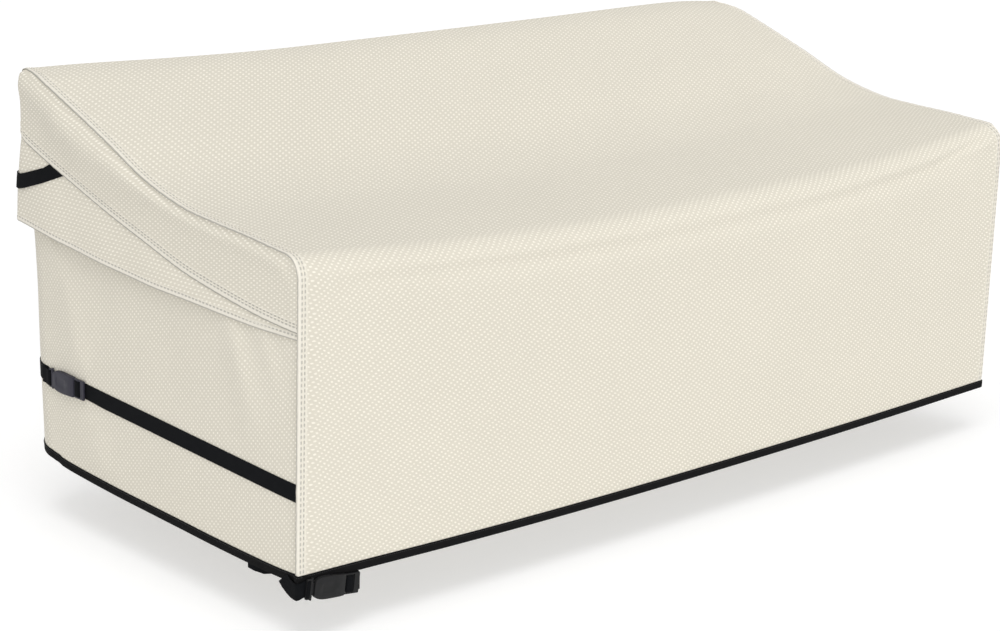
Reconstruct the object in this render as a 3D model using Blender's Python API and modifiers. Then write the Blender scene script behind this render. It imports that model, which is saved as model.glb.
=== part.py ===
"""Fitted outdoor cover for a three-seat sofa, as it hangs when it is on.

One wide centre panel runs from the front hem up the face, over the seat and the ridge, and a little
way down the back.  A gore closes each side above a rising seam, a vent flap hangs free below that
seam round the sides and the back, and lower panels behind the flap carry on down to a bound hem.
Webbing makes the side belt, the rear corner handles and the strap at the front left foot.

Sizes are in metres, +Z up.  Everything is modelled in cover coordinates: x from the middle, with the
left side at -x, y back from the front face, and z up from the hem at the front corners.  The empty
`cover_origin` then moves it all so that the world origin lies under the middle of the ridge.
"""
import math
from collections import namedtuple

import bmesh
import bpy
from mathutils import Matrix, Vector

# ---- driving dimensions -----------------------------------------------------------------------
HALF_WIDTH = 1.0
DEPTH = 0.908               # front face to back plane
FRONT_HEIGHT = 0.598        # top of the front fold at the left corner, above the hem
RIDGE_HEIGHT = 0.797        # top of the ridge at the left corner
CORNER_RADIUS = 0.032       # ridge fold and upper rear corners
CLOTH = 0.0015
WEBBING = 0.0016
TAPE = 0.0010               # one wall of the hem binding
GAP = 0.0003                # left between pieces that touch
LAYER = CLOTH + GAP         # pitch of the layers lapped in a seam
SEAM_LAP = 0.010            # how far a lower layer runs up behind the seam
BINDING_HEIGHT = 0.018
BACK_SEAM = 0.860           # the back is sewn to the sides this far from the middle
WEBBING_WIDTH = 0.033
HANDLE_WIDTH = 0.030

FRONT_EDGE = CLOTH + 2 * GAP            # where the side pieces start behind the front face
RIDGE_Y = DEPTH - CORNER_RADIUS
SIDE_RUN_END = 0.765                    # last fixed station of a side before its rear corner
BACK_SEAM_HEIGHT = 0.678                # the vent seam across the back

# ---- how the cloth hangs ------------------------------------------------------------------------
# Centre panel, from left to right: how far the front fold and the ridge hang below the left corner,
# the radius of the front fold, the groove under it, the forward belly of the face, and the hem.
DRAPE = (
    # x,     front_drop, fold_radius, groove, belly, hem_z, ridge_drop
    (-1.00, 0.0000, 0.045, 0.000, 0.000, -0.002, 0.000),
    (-0.86, 0.0095, 0.046, 0.002, 0.003, -0.004, 0.003),
    (-0.65, 0.0260, 0.050, 0.005, 0.008, -0.008, 0.011),
    (-0.41, 0.0370, 0.053, 0.006, 0.012, -0.011, 0.017),
    (-0.15, 0.0430, 0.055, 0.006, 0.015, -0.012, 0.017),
    (0.13, 0.0390, 0.055, 0.006, 0.015, -0.012, 0.016),
    (0.43, 0.0340, 0.052, 0.006, 0.012, -0.012, 0.014),
    (0.70, 0.0200, 0.050, 0.006, 0.007, -0.011, 0.011),
    (0.86, 0.0030, 0.046, 0.004, 0.003, -0.010, 0.012),
    (1.00, -0.0090, 0.045, 0.000, 0.000, -0.009, 0.021),
)
GROOVE_BELOW_FOLD = 0.052
GROOVE_WIDTH = 0.022

# Height of the top along the left corner, from the front fold to the ridge.
TOP_LINE = (
    # y, z
    (0.045, 0.5965), (0.135, 0.606), (0.259, 0.614), (0.348, 0.623), (0.467, 0.653),
    (0.589, 0.703), (0.730, 0.757), (0.816, 0.787), (RIDGE_Y, RIDGE_HEIGHT),
)

# Heights along a side, from front to back: the vent seam, the flap's free edge, how far that edge
# stands out, the middle of the belt, the hem's rise over its front corner, and its outward lean.
SIDE_LINES = (
    # y,   seam_z, flap_z, flap_out, belt_z, hem_rise, hem_out
    (0.000, 0.460, 0.448, 0.000, 0.1665, 0.0000, 0.0000),
    (0.060, 0.463, 0.447, 0.002, 0.1686, -0.0020, 0.0020),
    (0.135, 0.469, 0.446, 0.004, 0.1712, -0.0025, 0.0020),
    (0.259, 0.486, 0.450, 0.007, 0.1756, -0.0015, 0.0015),
    (0.350, 0.502, 0.453, 0.009, 0.1788, 0.0005, 0.0010),
    (0.462, 0.531, 0.457, 0.011, 0.1827, 0.0025, 0.0000),
    (0.593, 0.566, 0.467, 0.013, 0.1873, 0.0060, 0.0000),
    (0.735, 0.609, 0.480, 0.015, 0.1915, 0.0120, 0.0000),
    (0.793, 0.627, 0.487, 0.015, 0.1930, 0.0170, 0.0000),
    (0.873, 0.655, 0.494, 0.013, 0.1945, 0.0265, 0.0000),
    (0.893, 0.669, 0.495, 0.012, 0.1950, 0.0275, 0.0000),
    (DEPTH, BACK_SEAM_HEIGHT, 0.496, 0.012, 0.1950, 0.0275, 0.0000),
)
FLAP_BULGE = 0.2            # the flap swells by this share of flap_out between its seam and its edge
FLAP_TURN = 0.6             # and its rear corner opens by this share of how far it stands out
FLAP_COVER = 0.008          # depth below the flap's free edge of the lower panel's nearest row

# Radius of the lower panels' rear corners: tight in the vent seam, slack under the flap.
LOWER_CORNER = (
    # z, radius
    (0.000, 0.112), (0.240, 0.096), (0.440, 0.087), (0.540, 0.066), (0.640, 0.036),
    (0.660, CORNER_RADIUS), (0.700, CORNER_RADIUS),
)

# Soft upright folds in the lower side panels: place at the belt and at the flap, width, height.
FOLDS = (
    # y_low, y_high, width, height
    (0.120, 0.190, 0.050, 0.0045),
    (0.400, 0.390, 0.080, -0.0030),
    (0.687, 0.684, 0.050, 0.0050),
)
FOLD_BOTTOM = 0.215
FOLD_TOP = 0.455

# ---- rows and columns of the cloth --------------------------------------------------------------
PANEL_X = (0.0, 0.19, 0.38, 0.56, 0.72, 0.86, 0.93, 0.985, 1.0)
FACE_ROWS = (0.20, 0.42, 0.62, 0.78, 0.90)
FOLD_ANGLES = (0.0, 20.0, 40.0, 60.0, 80.0)
TOP_ROWS = (0.09, 0.135, 0.20, 0.259, 0.31, 0.36, 0.42, 0.48, 0.54, 0.60, 0.67, 0.74, 0.80, 0.845)
RIDGE_ANGLES = (90.0, 67.5, 45.0, 22.5, 0.0)
BACK_ROWS = (0.715, BACK_SEAM_HEIGHT)
SIDE_Y = (FRONT_EDGE, 0.008, 0.045, 0.127, 0.19, 0.26, 0.35, 0.44, 0.53, 0.61, 0.685)
ARC_STEPS = (0.0, 22.5, 45.0, 67.5, 90.0)
BACK_X = (0.0, 0.19, 0.38, 0.56, 0.72, BACK_SEAM - GAP / 2)
GORE_TAIL = 0.12                        # share of the run from corner to back seam that a gore laps

Station = namedtuple("Station", "kind place")
SIDE_STATIONS = (
    [Station("side", y) for y in SIDE_Y]
    + [Station("run", share) for share in (0.0, 0.5)]
    + [Station("arc", angle) for angle in ARC_STEPS]
    + [Station("tail", share) for share in (GORE_TAIL, 0.5, 1.0)]
)
BACK_STATIONS = [Station("back", x) for x in sorted({-x for x in BACK_X} | set(BACK_X))]

# ---- binding at the front corners -----------------------------------------------------------------
CORNER_OUTER_Y = 0.0034                 # where its outer wall turns on to the side
CORNER_INNER_Y = 0.0050                 # and its inner wall

# ---- buckles: x along the strap towards the ladder end, y across, z away from the cloth -----------
PLATE_THICK = 0.0040
PLATE_BOTTOM = 0.0022                   # leaves room for a layer of webbing under a bar
BODY_THICK = 0.0100
BODY_BOTTOM = 0.0006
EDGE_BEVEL = 0.0005
SLOT_HALF = 0.0166
SLOT_PLAY = 0.0010                      # webbing's clearance at each end of a slot
MALE_SLOT = (-0.0560, -0.0515)
LADDER_SLOTS = ((0.0300, 0.0350), (0.0450, 0.0500))
BODY_OUTLINE = (
    # x, half width
    (-0.0430, 0.0125), (-0.0400, 0.0160), (-0.0330, 0.0194), (-0.0240, 0.0212), (-0.0120, 0.0216),
    (0.0040, 0.0212), (0.0280, 0.0203),
)
MALE_OUTLINE = (
    # x, half width
    (-0.0600, 0.0188), (-0.0500, 0.0190), (-0.0500, 0.0210), (-0.0468, 0.0210), (-0.0468, 0.0105),
    (-0.0434, 0.0105),
)
LADDER_OUTLINE = (
    # x, half width
    (0.0200, 0.0196), (0.0600, 0.0196), (0.0620, 0.0184),
)
BELT_BUCKLE_Y = 0.738                   # middle of the side buckle
BELT_SHORT_END = 0.65                   # the short run of the belt leaves the cloth before here
FOOT_BUCKLE = (-0.929, -0.0042, -0.0165)  # middle of the foot strap's buckle
FOOT_BUCKLE_TILT = 7.0                  # degrees, its ladder end hangs lower

# Webbing's centre line through the male end: under the bar, up through the slot and back over it.
MALE_THREAD = (
    # x, z
    (-0.0620, 0.0011), (-0.0552, 0.0011), (-0.0542, 0.0017), (-0.0538, 0.0030), (-0.0538, 0.0064),
    (-0.0548, 0.0074), (-0.0600, 0.0074), (-0.0660, 0.0062), (-0.0740, 0.0035), (-0.0860, 0.0033),
)
# And through the ladder end: under the end bar, over the middle bar and down through the inner slot.
LADDER_THREAD = (
    # x, z
    (0.0640, 0.0011), (0.0505, 0.0011), (0.0486, 0.0014), (0.0476, 0.0026), (0.0474, 0.0058),
    (0.0464, 0.0072), (0.0440, 0.0076), (0.0360, 0.0076), (0.0336, 0.0068), (0.0326, 0.0050),
    (0.0326, 0.0024),
)

# ---- handles and foot strap -------------------------------------------------------------------------
HANDLE_LIFT = 0.0006                    # clearance of a handle over the bulging flap
HANDLE_SIDE_END = 0.785                 # where its upper edge meets the vent seam on the side
HANDLE_SEAM_CUT = 0.047                 # length of its slanting end along that seam
HANDLE_SIDE_STEPS = (0.802, 0.8205, 0.850)
HANDLE_CORNER_HEIGHT = 0.570
HANDLE_BACK_RUN = 0.240
HANDLE_BACK_STEPS = (0.35, 0.70, 1.0)

FOOT_THREAD_STOPS = 7                   # the foot strap's end is sewn down right behind the bar
# The foot strap's centre line from inside the side hem, round the front corner, to its buckle, and
# the direction across the webbing.
FOOT_FRONT = (
    # x,      y,       z,       across_x, across_y, across_z
    (-0.9996, 0.0440, 0.0010, 0.00, 0.75, -0.66),
    (-0.9998, 0.0360, -0.0055, 0.00, 0.62, -0.78),
    (-1.0004, 0.0260, -0.0105, 0.00, 0.42, -0.91),
    (-1.0016, 0.0160, -0.0135, 0.00, 0.22, -0.98),
    (-1.0030, 0.0080, -0.0140, 0.00, 0.10, -1.00),
    (-1.0038, 0.0030, -0.0138, 0.00, 0.03, -1.00),
    (-1.0036, -0.0022, -0.0130, -0.02, 0.00, -1.00),
    (-1.0000, -0.0052, -0.0112, -0.08, 0.00, -1.00),
)
# And on from the ladder end, back behind the foot and out to the inside of the side hem, upright.
FOOT_BEHIND = (
    # x,      y,       z
    (-0.8605, -0.0020, -0.0250), (-0.8575, 0.0030, -0.0250), (-0.8562, 0.0120, -0.0245),
    (-0.8560, 0.0400, -0.0230), (-0.8565, 0.0750, -0.0210), (-0.8600, 0.0950, -0.0195),
    (-0.8720, 0.1070, -0.0175), (-0.9000, 0.1110, -0.0140), (-0.9400, 0.1120, -0.0090),
    (-0.9700, 0.1130, -0.0050), (-0.9860, 0.1180, -0.0030),
)
# Its end is sewn flat to the inside of the hem binding.
FOOT_SEAT = (
    # off,   y,       z
    (0.0030, 0.1260, -0.0015), (0.0000, 0.1360, -0.0010), (0.0000, 0.1560, 0.0000),
)

COLOURS = {
    # slot: linear base colour, roughness
    "fabric": ((0.77, 0.72, 0.61), 0.85),
    "binding": ((0.016, 0.016, 0.018), 0.80),
    "webbing": ((0.012, 0.012, 0.014), 0.70),
    "plastic": ((0.055, 0.054, 0.072), 0.40),
}


# ---- tables ---------------------------------------------------------------------------------------
def along(rows, column, place):
    """Value of a table's column at a place, smooth between rows and flat past its ends."""
    if place <= rows[0][0]:
        return rows[0][column]
    if place >= rows[-1][0]:
        return rows[-1][column]
    last = len(rows) - 1
    i = max(k for k in range(last) if rows[k][0] <= place)
    x0, x1 = rows[i][0], rows[i + 1][0]
    v0, v1 = rows[i][column], rows[i + 1][column]
    slope = (v1 - v0) / (x1 - x0)
    before, after = slope, slope
    if i > 0:
        before = (v1 - rows[i - 1][column]) / (x1 - rows[i - 1][0])
    if i + 2 <= last:
        after = (rows[i + 2][column] - v0) / (rows[i + 2][0] - x0)
    t = (place - x0) / (x1 - x0)
    width = x1 - x0
    return (v0 * (1 + 2 * t) * (1 - t) ** 2 + v1 * t * t * (3 - 2 * t)
            + width * (before * t * (1 - t) ** 2 + after * t * t * (t - 1)))


def drape(name, x):
    """One column of the centre panel's drape at x."""
    column = ("x", "front_drop", "fold_radius", "groove", "belly", "hem_z", "ridge_drop").index(name)
    return along(DRAPE, column, x)


def side_line(name, y):
    """One column of the side lines at y."""
    names = ("y", "seam_z", "flap_z", "flap_out", "belt_z", "hem_rise", "hem_out")
    return along(SIDE_LINES, names.index(name), y)


# ---- centre panel -----------------------------------------------------------------------------------
def panel_profile(x):
    """(half-width share, y, z) rows of the centre panel at x, from the front hem to the vent seam."""
    radius = drape("fold_radius", x)
    top = FRONT_HEIGHT - drape("front_drop", x)
    fold_bottom = top - radius
    hem = drape("hem_z", x)
    belly = drape("belly", x)

    def face(z):
        share = (z - hem) / (fold_bottom - hem)
        return -belly * (1 - share)

    def groove(z):
        return drape("groove", x) * math.exp(-((z - top + GROOVE_BELOW_FOLD) / GROOVE_WIDTH) ** 2)

    def drop(y):
        share = (y - radius) / (RIDGE_Y - radius)
        front = drape("front_drop", x)
        return front + (drape("ridge_drop", x) - front) * share

    heights = [hem + TAPE + GAP, hem + BINDING_HEIGHT]
    heights += [hem + share * (fold_bottom - hem) for share in FACE_ROWS]
    rows = [(1.0, face(z) + groove(z), z) for z in heights]
    for angle in FOLD_ANGLES:
        turn = math.radians(angle)
        z = fold_bottom + radius * math.sin(turn)
        rows.append((1.0, radius * (1 - math.cos(turn)) + groove(z), z))
    rows += [(1.0, y, along(TOP_LINE, 1, y) - drop(y)) for y in TOP_ROWS]
    ridge_centre = RIDGE_HEIGHT - drape("ridge_drop", x) - CORNER_RADIUS
    for angle in RIDGE_ANGLES:
        turn = math.radians(angle)
        share = (HALF_WIDTH - CORNER_RADIUS * (1 - math.sin(turn))) / HALF_WIDTH
        rows.append((share, RIDGE_Y + CORNER_RADIUS * math.cos(turn),
                     ridge_centre + CORNER_RADIUS * math.sin(turn)))
    rows += [(rows[-1][0], DEPTH, z) for z in BACK_ROWS]
    return rows


def signed(places):
    """Places on both sides of the middle, from left to right."""
    return sorted({-place for place in places} | set(places))


def centre_panel_grid():
    """Points of the centre panel's outer face, one column for each place across the width."""
    grid = []
    for x in signed(PANEL_X):
        grid.append([Vector((x * HALF_WIDTH * share, y, z)) for share, y, z in panel_profile(x)])
    return grid


# ---- side and back walls ------------------------------------------------------------------------------
def plan_point(station, half, depth, radius):
    """Place in plan of a station on a wall outline, and its outward normal, for the +x side."""
    if station.kind == "side":
        return (half, station.place), (1.0, 0.0)
    if station.kind == "run":
        arc_start = depth - radius
        return (half, SIDE_RUN_END + station.place * (arc_start - SIDE_RUN_END)), (1.0, 0.0)
    if station.kind == "arc":
        turn = math.radians(station.place)
        normal = (math.cos(turn), math.sin(turn))
        return (half - radius + radius * normal[0], depth - radius + radius * normal[1]), normal
    if station.kind == "tail":
        arc_end = half - radius
        seam = BACK_SEAM + GAP / 2
        return (arc_end + station.place * (seam - arc_end), depth), (0.0, 1.0)
    return (station.place, depth), (0.0, 1.0)


def station_y(station):
    """Distance back from the front face at which a station reads the side lines."""
    return plan_point(station, HALF_WIDTH, DEPTH, CORNER_RADIUS)[0][1]


def inset(station, layer):
    """How far inside the outermost cloth a layer lies; on the back the layers close up by one."""
    if station.kind == "back":
        return LAYER * (layer - 1)
    if station.kind == "tail" and layer > 1:
        return LAYER * (layer - max(0.0, (station.place - GORE_TAIL) / (1 - GORE_TAIL)))
    return LAYER * layer


def wall_point(station, side, z, layer, out=0.0, radius=CORNER_RADIUS):
    """Point and outward normal on a wall at height z: side is -1 left, 1 right, and 1 for the back."""
    depth_in = inset(station, layer)
    (x, y), (nx, ny) = plan_point(station, HALF_WIDTH + out - depth_in, DEPTH + out - depth_in,
                                  radius - depth_in)
    return Vector((x * side, y, z)), Vector((nx * side, ny, 0.0))


def hem_z(station, side):
    """Height of the hem at a station."""
    left, right = drape("hem_z", -HALF_WIDTH), drape("hem_z", HALF_WIDTH)
    x = side * HALF_WIDTH if station.kind != "back" else station.place
    corner = left + (right - left) * (x + HALF_WIDTH) / (2 * HALF_WIDTH)
    if station.kind == "tail":
        (x, _), _ = plan_point(station, HALF_WIDTH, DEPTH, CORNER_RADIUS)
        corner = left + (right - left) * (side * x + HALF_WIDTH) / (2 * HALF_WIDTH)
    return corner + side_line("hem_rise", station_y(station))


def fold_height(station, z):
    """Outward height of the upright folds on a lower side panel."""
    if station.kind not in ("side", "run") or not FOLD_BOTTOM < z < FOLD_TOP:
        return 0.0
    up = (z - FOLD_BOTTOM) / (FOLD_TOP - FOLD_BOTTOM)
    total = 0.0
    for y_low, y_high, width, height in FOLDS:
        place = y_low + (y_high - y_low) * up
        total += height * math.exp(-((station_y(station) - place) / width) ** 2)
    return total * math.sin(math.pi * up)


def lower_point(station, side, z):
    """Point and normal on the outer face of the lower panels."""
    lean = 0.0
    if station.kind == "side":
        lean = side_line("hem_out", station.place) * max(0.0, 1 - z / FOLD_TOP)
    return wall_point(station, side, z, 3, out=lean + fold_height(station, z),
                      radius=along(LOWER_CORNER, 1, z))


def lower_rows(station, side):
    """Heights of the lower panels' rows: hem, binding, belt, flap and vent seam."""
    y = station_y(station)
    hem = hem_z(station, side)
    belt = side_line("belt_z", y)
    seam = side_line("seam_z", y)
    flap = side_line("flap_z", y) - FLAP_COVER
    belt_low, belt_high = belt - WEBBING_WIDTH / 2, belt + WEBBING_WIDTH / 2
    rows = [hem + TAPE + GAP, hem + BINDING_HEIGHT, (hem + BINDING_HEIGHT + belt_low) / 2]
    rows += [belt_low, belt_high]
    rows += [belt_high + share * (flap - belt_high) for share in (0.25, 0.5, 0.75, 1.0)]
    rows += [(flap + seam) / 2, seam, seam + SEAM_LAP]
    return rows


def flap_point(station, side, z):
    """Point and normal on the outer face of the vent flap, which stands out towards its free edge."""
    y = station_y(station)
    seam, edge = side_line("seam_z", y), side_line("flap_z", y)
    hang = min(1.0, max(0.0, (seam - z) / (seam - edge)))
    out = side_line("flap_out", y) * (hang + FLAP_BULGE * math.sin(math.pi * hang))
    return wall_point(station, side, z, 2, out=out, radius=CORNER_RADIUS + FLAP_TURN * out)


def flap_rows(station):
    """Heights of the flap's rows, from its free edge up to the lap behind the vent seam."""
    y = station_y(station)
    seam, edge = side_line("seam_z", y), side_line("flap_z", y)
    return [edge + share * (seam - edge) for share in (0.0, 0.33, 0.67, 1.0)] + [seam + SEAM_LAP]


def gore_grid(side):
    """Points of a side gore: its top edge runs just under the centre panel's edge."""
    edge = [(y, z) for _, y, z in panel_profile(side * HALF_WIDTH)]
    under = offset_inward(edge, CLOTH + 2 * GAP)
    first = 2 + len(FACE_ROWS)
    straight = len(FOLD_ANGLES) + len(TOP_ROWS) + 1
    stations = [Station("side", under[first + i][0]) for i in range(straight)]
    tops = [under[first + i][1] for i in range(straight)]
    stations += [Station("arc", angle) for angle in ARC_STEPS[1:]]
    tops += [under[first + straight + i][1] for i in range(len(ARC_STEPS) - 1)]
    stations.append(Station("tail", GORE_TAIL))
    tops.append(tops[-1])
    grid = []
    for station, top in zip(stations, tops):
        seam = side_line("seam_z", station_y(station))
        heights = [seam, seam + SEAM_LAP, (seam + SEAM_LAP + top) / 2, top]
        grid.append([wall_point(station, side, z, 1)[0] for z in heights])
    return grid


def offset_inward(line, distance):
    """A (y, z) line that runs up the front and over the top, moved inward by a distance."""
    moved = []
    for i, (y, z) in enumerate(line):
        normals = []
        for a, b in ((i - 1, i), (i, i + 1)):
            if a >= 0 and b < len(line):
                dy, dz = line[b][0] - line[a][0], line[b][1] - line[a][1]
                length = math.hypot(dy, dz)
                normals.append((dz / length, -dy / length))
        ny, nz = sum(n[0] for n in normals), sum(n[1] for n in normals)
        length = math.hypot(ny, nz)
        ny, nz = ny / length, nz / length
        reach = distance / (ny * normals[0][0] + nz * normals[0][1])
        moved.append((y + ny * reach, z + nz * reach))
    return moved


def wall_grid(stations, side, heights, point):
    """Columns of points on a wall, one for each station."""
    return [[point(s, side, z)[0] for z in heights(s)] for s in stations]


# ---- meshes ---------------------------------------------------------------------------------------------
INSIDE = Vector((0.0, 0.45, 0.30))


def add_object(name, mesh, slot):
    """An object in the cover's collection with its own material, under the origin empty."""
    colour, roughness = COLOURS[slot]
    material = bpy.data.materials.new(name)
    material.use_nodes = True
    shader = material.node_tree.nodes["Principled BSDF"]
    shader.inputs["Base Color"].default_value = (*colour, 1.0)
    shader.inputs["Roughness"].default_value = roughness
    shader.inputs["Metallic"].default_value = 0.0
    obj = bpy.data.objects.new(name, mesh)
    obj.parent = origin
    parts.objects.link(obj)
    if not mesh.materials:
        mesh.materials.append(material)
    else:
        obj.material_slots[0].link = "OBJECT"
        obj.material_slots[0].material = material
    return obj


def sheet(name, grid, slot="fabric", thickness=CLOTH, offset=-1.0):
    """A sheet through a grid of points on its outer face, thickened inward."""
    bm = bmesh.new()
    verts = [[bm.verts.new(point) for point in column] for column in grid]
    for a, b in zip(verts, verts[1:]):
        for j in range(len(a) - 1):
            bm.faces.new((a[j], b[j], b[j + 1], a[j + 1]))
    bm.normal_update()
    facing = sum((face.normal.dot(face.calc_center_median() - INSIDE) * face.calc_area()
                  for face in bm.faces))
    if facing < 0:
        bmesh.ops.reverse_faces(bm, faces=bm.faces[:])
    mesh = bpy.data.meshes.new(name)
    bm.to_mesh(mesh)
    bm.free()
    obj = add_object(name, mesh, slot)
    solid = obj.modifiers.new("thickness", "SOLIDIFY")
    solid.thickness = thickness
    solid.offset = offset
    solid.use_even_offset = True
    return obj


def closed_ring(name, sections, slot):
    """A closed loop of like sections."""
    bm = bmesh.new()
    rings = [[bm.verts.new(point) for point in section] for section in sections]
    for a, b in zip(rings, rings[1:] + rings[:1]):
        for j in range(len(a)):
            k = (j + 1) % len(a)
            bm.faces.new((a[j], a[k], b[k], b[j]))
    bmesh.ops.recalc_face_normals(bm, faces=bm.faces[:])
    mesh = bpy.data.meshes.new(name)
    bm.to_mesh(mesh)
    bm.free()
    return add_object(name, mesh, slot)


# ---- hem binding --------------------------------------------------------------------------------------------
def binding_section(low, high, normal):
    """Section of the tape folded round the hem, from the cloth's outer face at its foot and top."""
    out_wall, in_wall = GAP + TAPE, CLOTH + GAP + TAPE
    floor = Vector((0.0, 0.0, TAPE))
    return [
        low + normal * out_wall, high + normal * out_wall,
        high + normal * GAP, low + normal * GAP + floor,
        low - normal * (CLOTH + GAP) + floor, high - normal * (CLOTH + GAP),
        high - normal * in_wall, low - normal * in_wall,
    ]


def front_binding():
    """Sections of the binding across the front, from left to right."""
    sections = []
    for x in signed(PANEL_X)[1:-1]:
        foot, top = panel_profile(x)[:2]
        hem = drape("hem_z", x)
        low = Vector((x, foot[1], hem))
        high = Vector((x, top[1], top[2]))
        sections.append(binding_section(low, high, Vector((0.0, -1.0, 0.0))))
    return sections


def corner_binding(side):
    """Sections that take the binding round a front corner, from the front to the side."""
    wall = HALF_WIDTH - inset(SIDE_STATIONS[0], 3)
    hem = drape("hem_z", side * HALF_WIDTH)
    inner = wall - CLOTH - GAP
    plans = (
        # outside, channel outside, channel inside, inside
        ((HALF_WIDTH + GAP + TAPE, -GAP - TAPE), (HALF_WIDTH + GAP, -GAP),
         (inner, CLOTH + GAP), (inner - TAPE, CLOTH + GAP + TAPE)),
        ((HALF_WIDTH + GAP + TAPE, CORNER_OUTER_Y), (HALF_WIDTH + GAP, CORNER_OUTER_Y),
         (inner, CORNER_INNER_Y), (inner - TAPE, CORNER_INNER_Y)),
    )
    sections = []
    for outside, channel_out, channel_in, inside in plans:
        corners = (
            (outside, hem), (outside, hem + BINDING_HEIGHT),
            (channel_out, hem + BINDING_HEIGHT), (channel_out, hem + TAPE),
            (channel_in, hem + TAPE), (channel_in, hem + BINDING_HEIGHT),
            (inside, hem + BINDING_HEIGHT), (inside, hem),
        )
        sections.append([Vector((side * x, y, z)) for (x, y), z in corners])
    return sections


def wall_binding(stations, side):
    """Sections of the binding along stations of a side or of the back."""
    sections = []
    for station in stations:
        hem = hem_z(station, side)
        low, normal = lower_point(station, side, hem)
        high, _ = lower_point(station, side, hem + BINDING_HEIGHT)
        sections.append(binding_section(low, high, normal))
    return sections


def build_binding():
    """The black tape bound round the whole hem, one closed loop."""
    side_stations = SIDE_STATIONS[1:]
    right = wall_binding(side_stations, 1)
    left = wall_binding(side_stations, -1)
    back = wall_binding(BACK_STATIONS, 1)
    loop = front_binding() + corner_binding(1) + right + back[::-1] + left[::-1]
    loop += corner_binding(-1)[::-1]
    closed_ring("hem_binding", loop, "binding")


# ---- webbing ------------------------------------------------------------------------------------------------
def lifted(point, normal, height):
    """A point lifted off the cloth along its normal."""
    return point + normal * height


def belt_columns(stations, side):
    """Pairs of edge points of the belt where it lies on the lower panels."""
    columns = []
    for station in stations:
        middle = side_line("belt_z", station_y(station))
        column = []
        for z in (middle - WEBBING_WIDTH / 2, middle + WEBBING_WIDTH / 2):
            point, normal = lower_point(station, side, z)
            column.append(lifted(point, normal, GAP + WEBBING / 2))
        columns.append(column)
    return columns


def buckle_route(stops, place):
    """Edge points of webbing that is threaded through a buckle, from (x, z) stops in its own axes."""
    half = SLOT_HALF - SLOT_PLAY
    columns = []
    for x, height in stops:
        columns.append([place @ Vector((x, y, height)) for y in (-half, half)])
    return columns


def belt_buckle_place():
    """Axes of the side buckle: its ladder end points forward and its face outward, on the left."""
    middle = side_line("belt_z", BELT_BUCKLE_Y)
    point, _ = lower_point(Station("side", BELT_BUCKLE_Y), -1, middle)
    turn = Matrix(((0, 0, -1), (-1, 0, 0), (0, 1, 0))).to_4x4()
    return Matrix.Translation(point + Vector((-GAP / 2, 0, 0))) @ turn


def foot_buckle_place():
    """Axes of the foot strap's buckle: its ladder end points right and its face forward."""
    turn = Matrix(((1, 0, 0), (0, 0, -1), (0, 1, 0))).to_4x4()
    tilt = Matrix.Rotation(math.radians(FOOT_BUCKLE_TILT), 4, "Y")
    return Matrix.Translation(FOOT_BUCKLE) @ tilt @ turn


def build_belt():
    """The belt: a short run from the front seam to the ladder end, and the rest round the back."""
    place = belt_buckle_place()
    front_stations = [s for s in SIDE_STATIONS if s.kind == "side" and s.place < BELT_SHORT_END]
    short = belt_columns(front_stations, -1) + buckle_route(LADDER_THREAD, place)
    sheet("belt_front_left", short, "webbing", WEBBING, offset=0.0)
    corner = [s for s in SIDE_STATIONS if s.kind in ("arc", "tail")]
    left = belt_columns(corner, -1)
    back = belt_columns(BACK_STATIONS, 1)
    right = belt_columns(SIDE_STATIONS, 1)
    thread = buckle_route(MALE_THREAD, place)
    sheet("belt_round_back", thread[::-1] + left + back + right[::-1], "webbing", WEBBING, offset=0.0)


def handle_column(station, side, middle):
    """Three points across a corner handle where it crosses a station of the vent flap."""
    column = []
    for share in (-0.5, 0.0, 0.5):
        point, normal = flap_point(station, side, middle + share * HANDLE_WIDTH)
        column.append(lifted(point, normal, HANDLE_LIFT + WEBBING))
    return column


def handle_start(side):
    """The handle's first column, cut along the vent seam that it comes out of."""
    column = []
    for share in (1.0, 0.5, 0.0):
        y = HANDLE_SIDE_END - share * HANDLE_SEAM_CUT
        seam = side_line("seam_z", y) - HANDLE_LIFT
        point, normal = flap_point(Station("side", y), side, seam)
        column.append(lifted(point, normal, HANDLE_LIFT + WEBBING))
    return column


def build_handle(side, hand):
    """A webbing handle round a rear corner, from the vent seam of the side to that of the back."""
    corner = [s for s in SIDE_STATIONS if s.kind == "arc" or s.place == GORE_TAIL]
    columns = [handle_start(side)]
    start_y = HANDLE_SIDE_END - HANDLE_WIDTH
    start_z = side_line("seam_z", start_y)
    for y in HANDLE_SIDE_STEPS:
        height = start_z + (HANDLE_CORNER_HEIGHT - start_z) * (y - start_y) / (RIDGE_Y - start_y)
        columns.append(handle_column(Station("side", y), side, height))
    columns += [handle_column(station, side, HANDLE_CORNER_HEIGHT) for station in corner]
    (corner_x, _), _ = plan_point(corner[-1], HALF_WIDTH, DEPTH, CORNER_RADIUS)
    rise = BACK_SEAM_HEIGHT - HANDLE_LIFT - HANDLE_WIDTH / 2 - HANDLE_CORNER_HEIGHT
    for share in HANDLE_BACK_STEPS:
        station = Station("back", side * (corner_x - share * HANDLE_BACK_RUN))
        columns.append(handle_column(station, 1, HANDLE_CORNER_HEIGHT + share * rise))
    sheet("corner_handle_" + hand, columns, "webbing", WEBBING)


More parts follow.
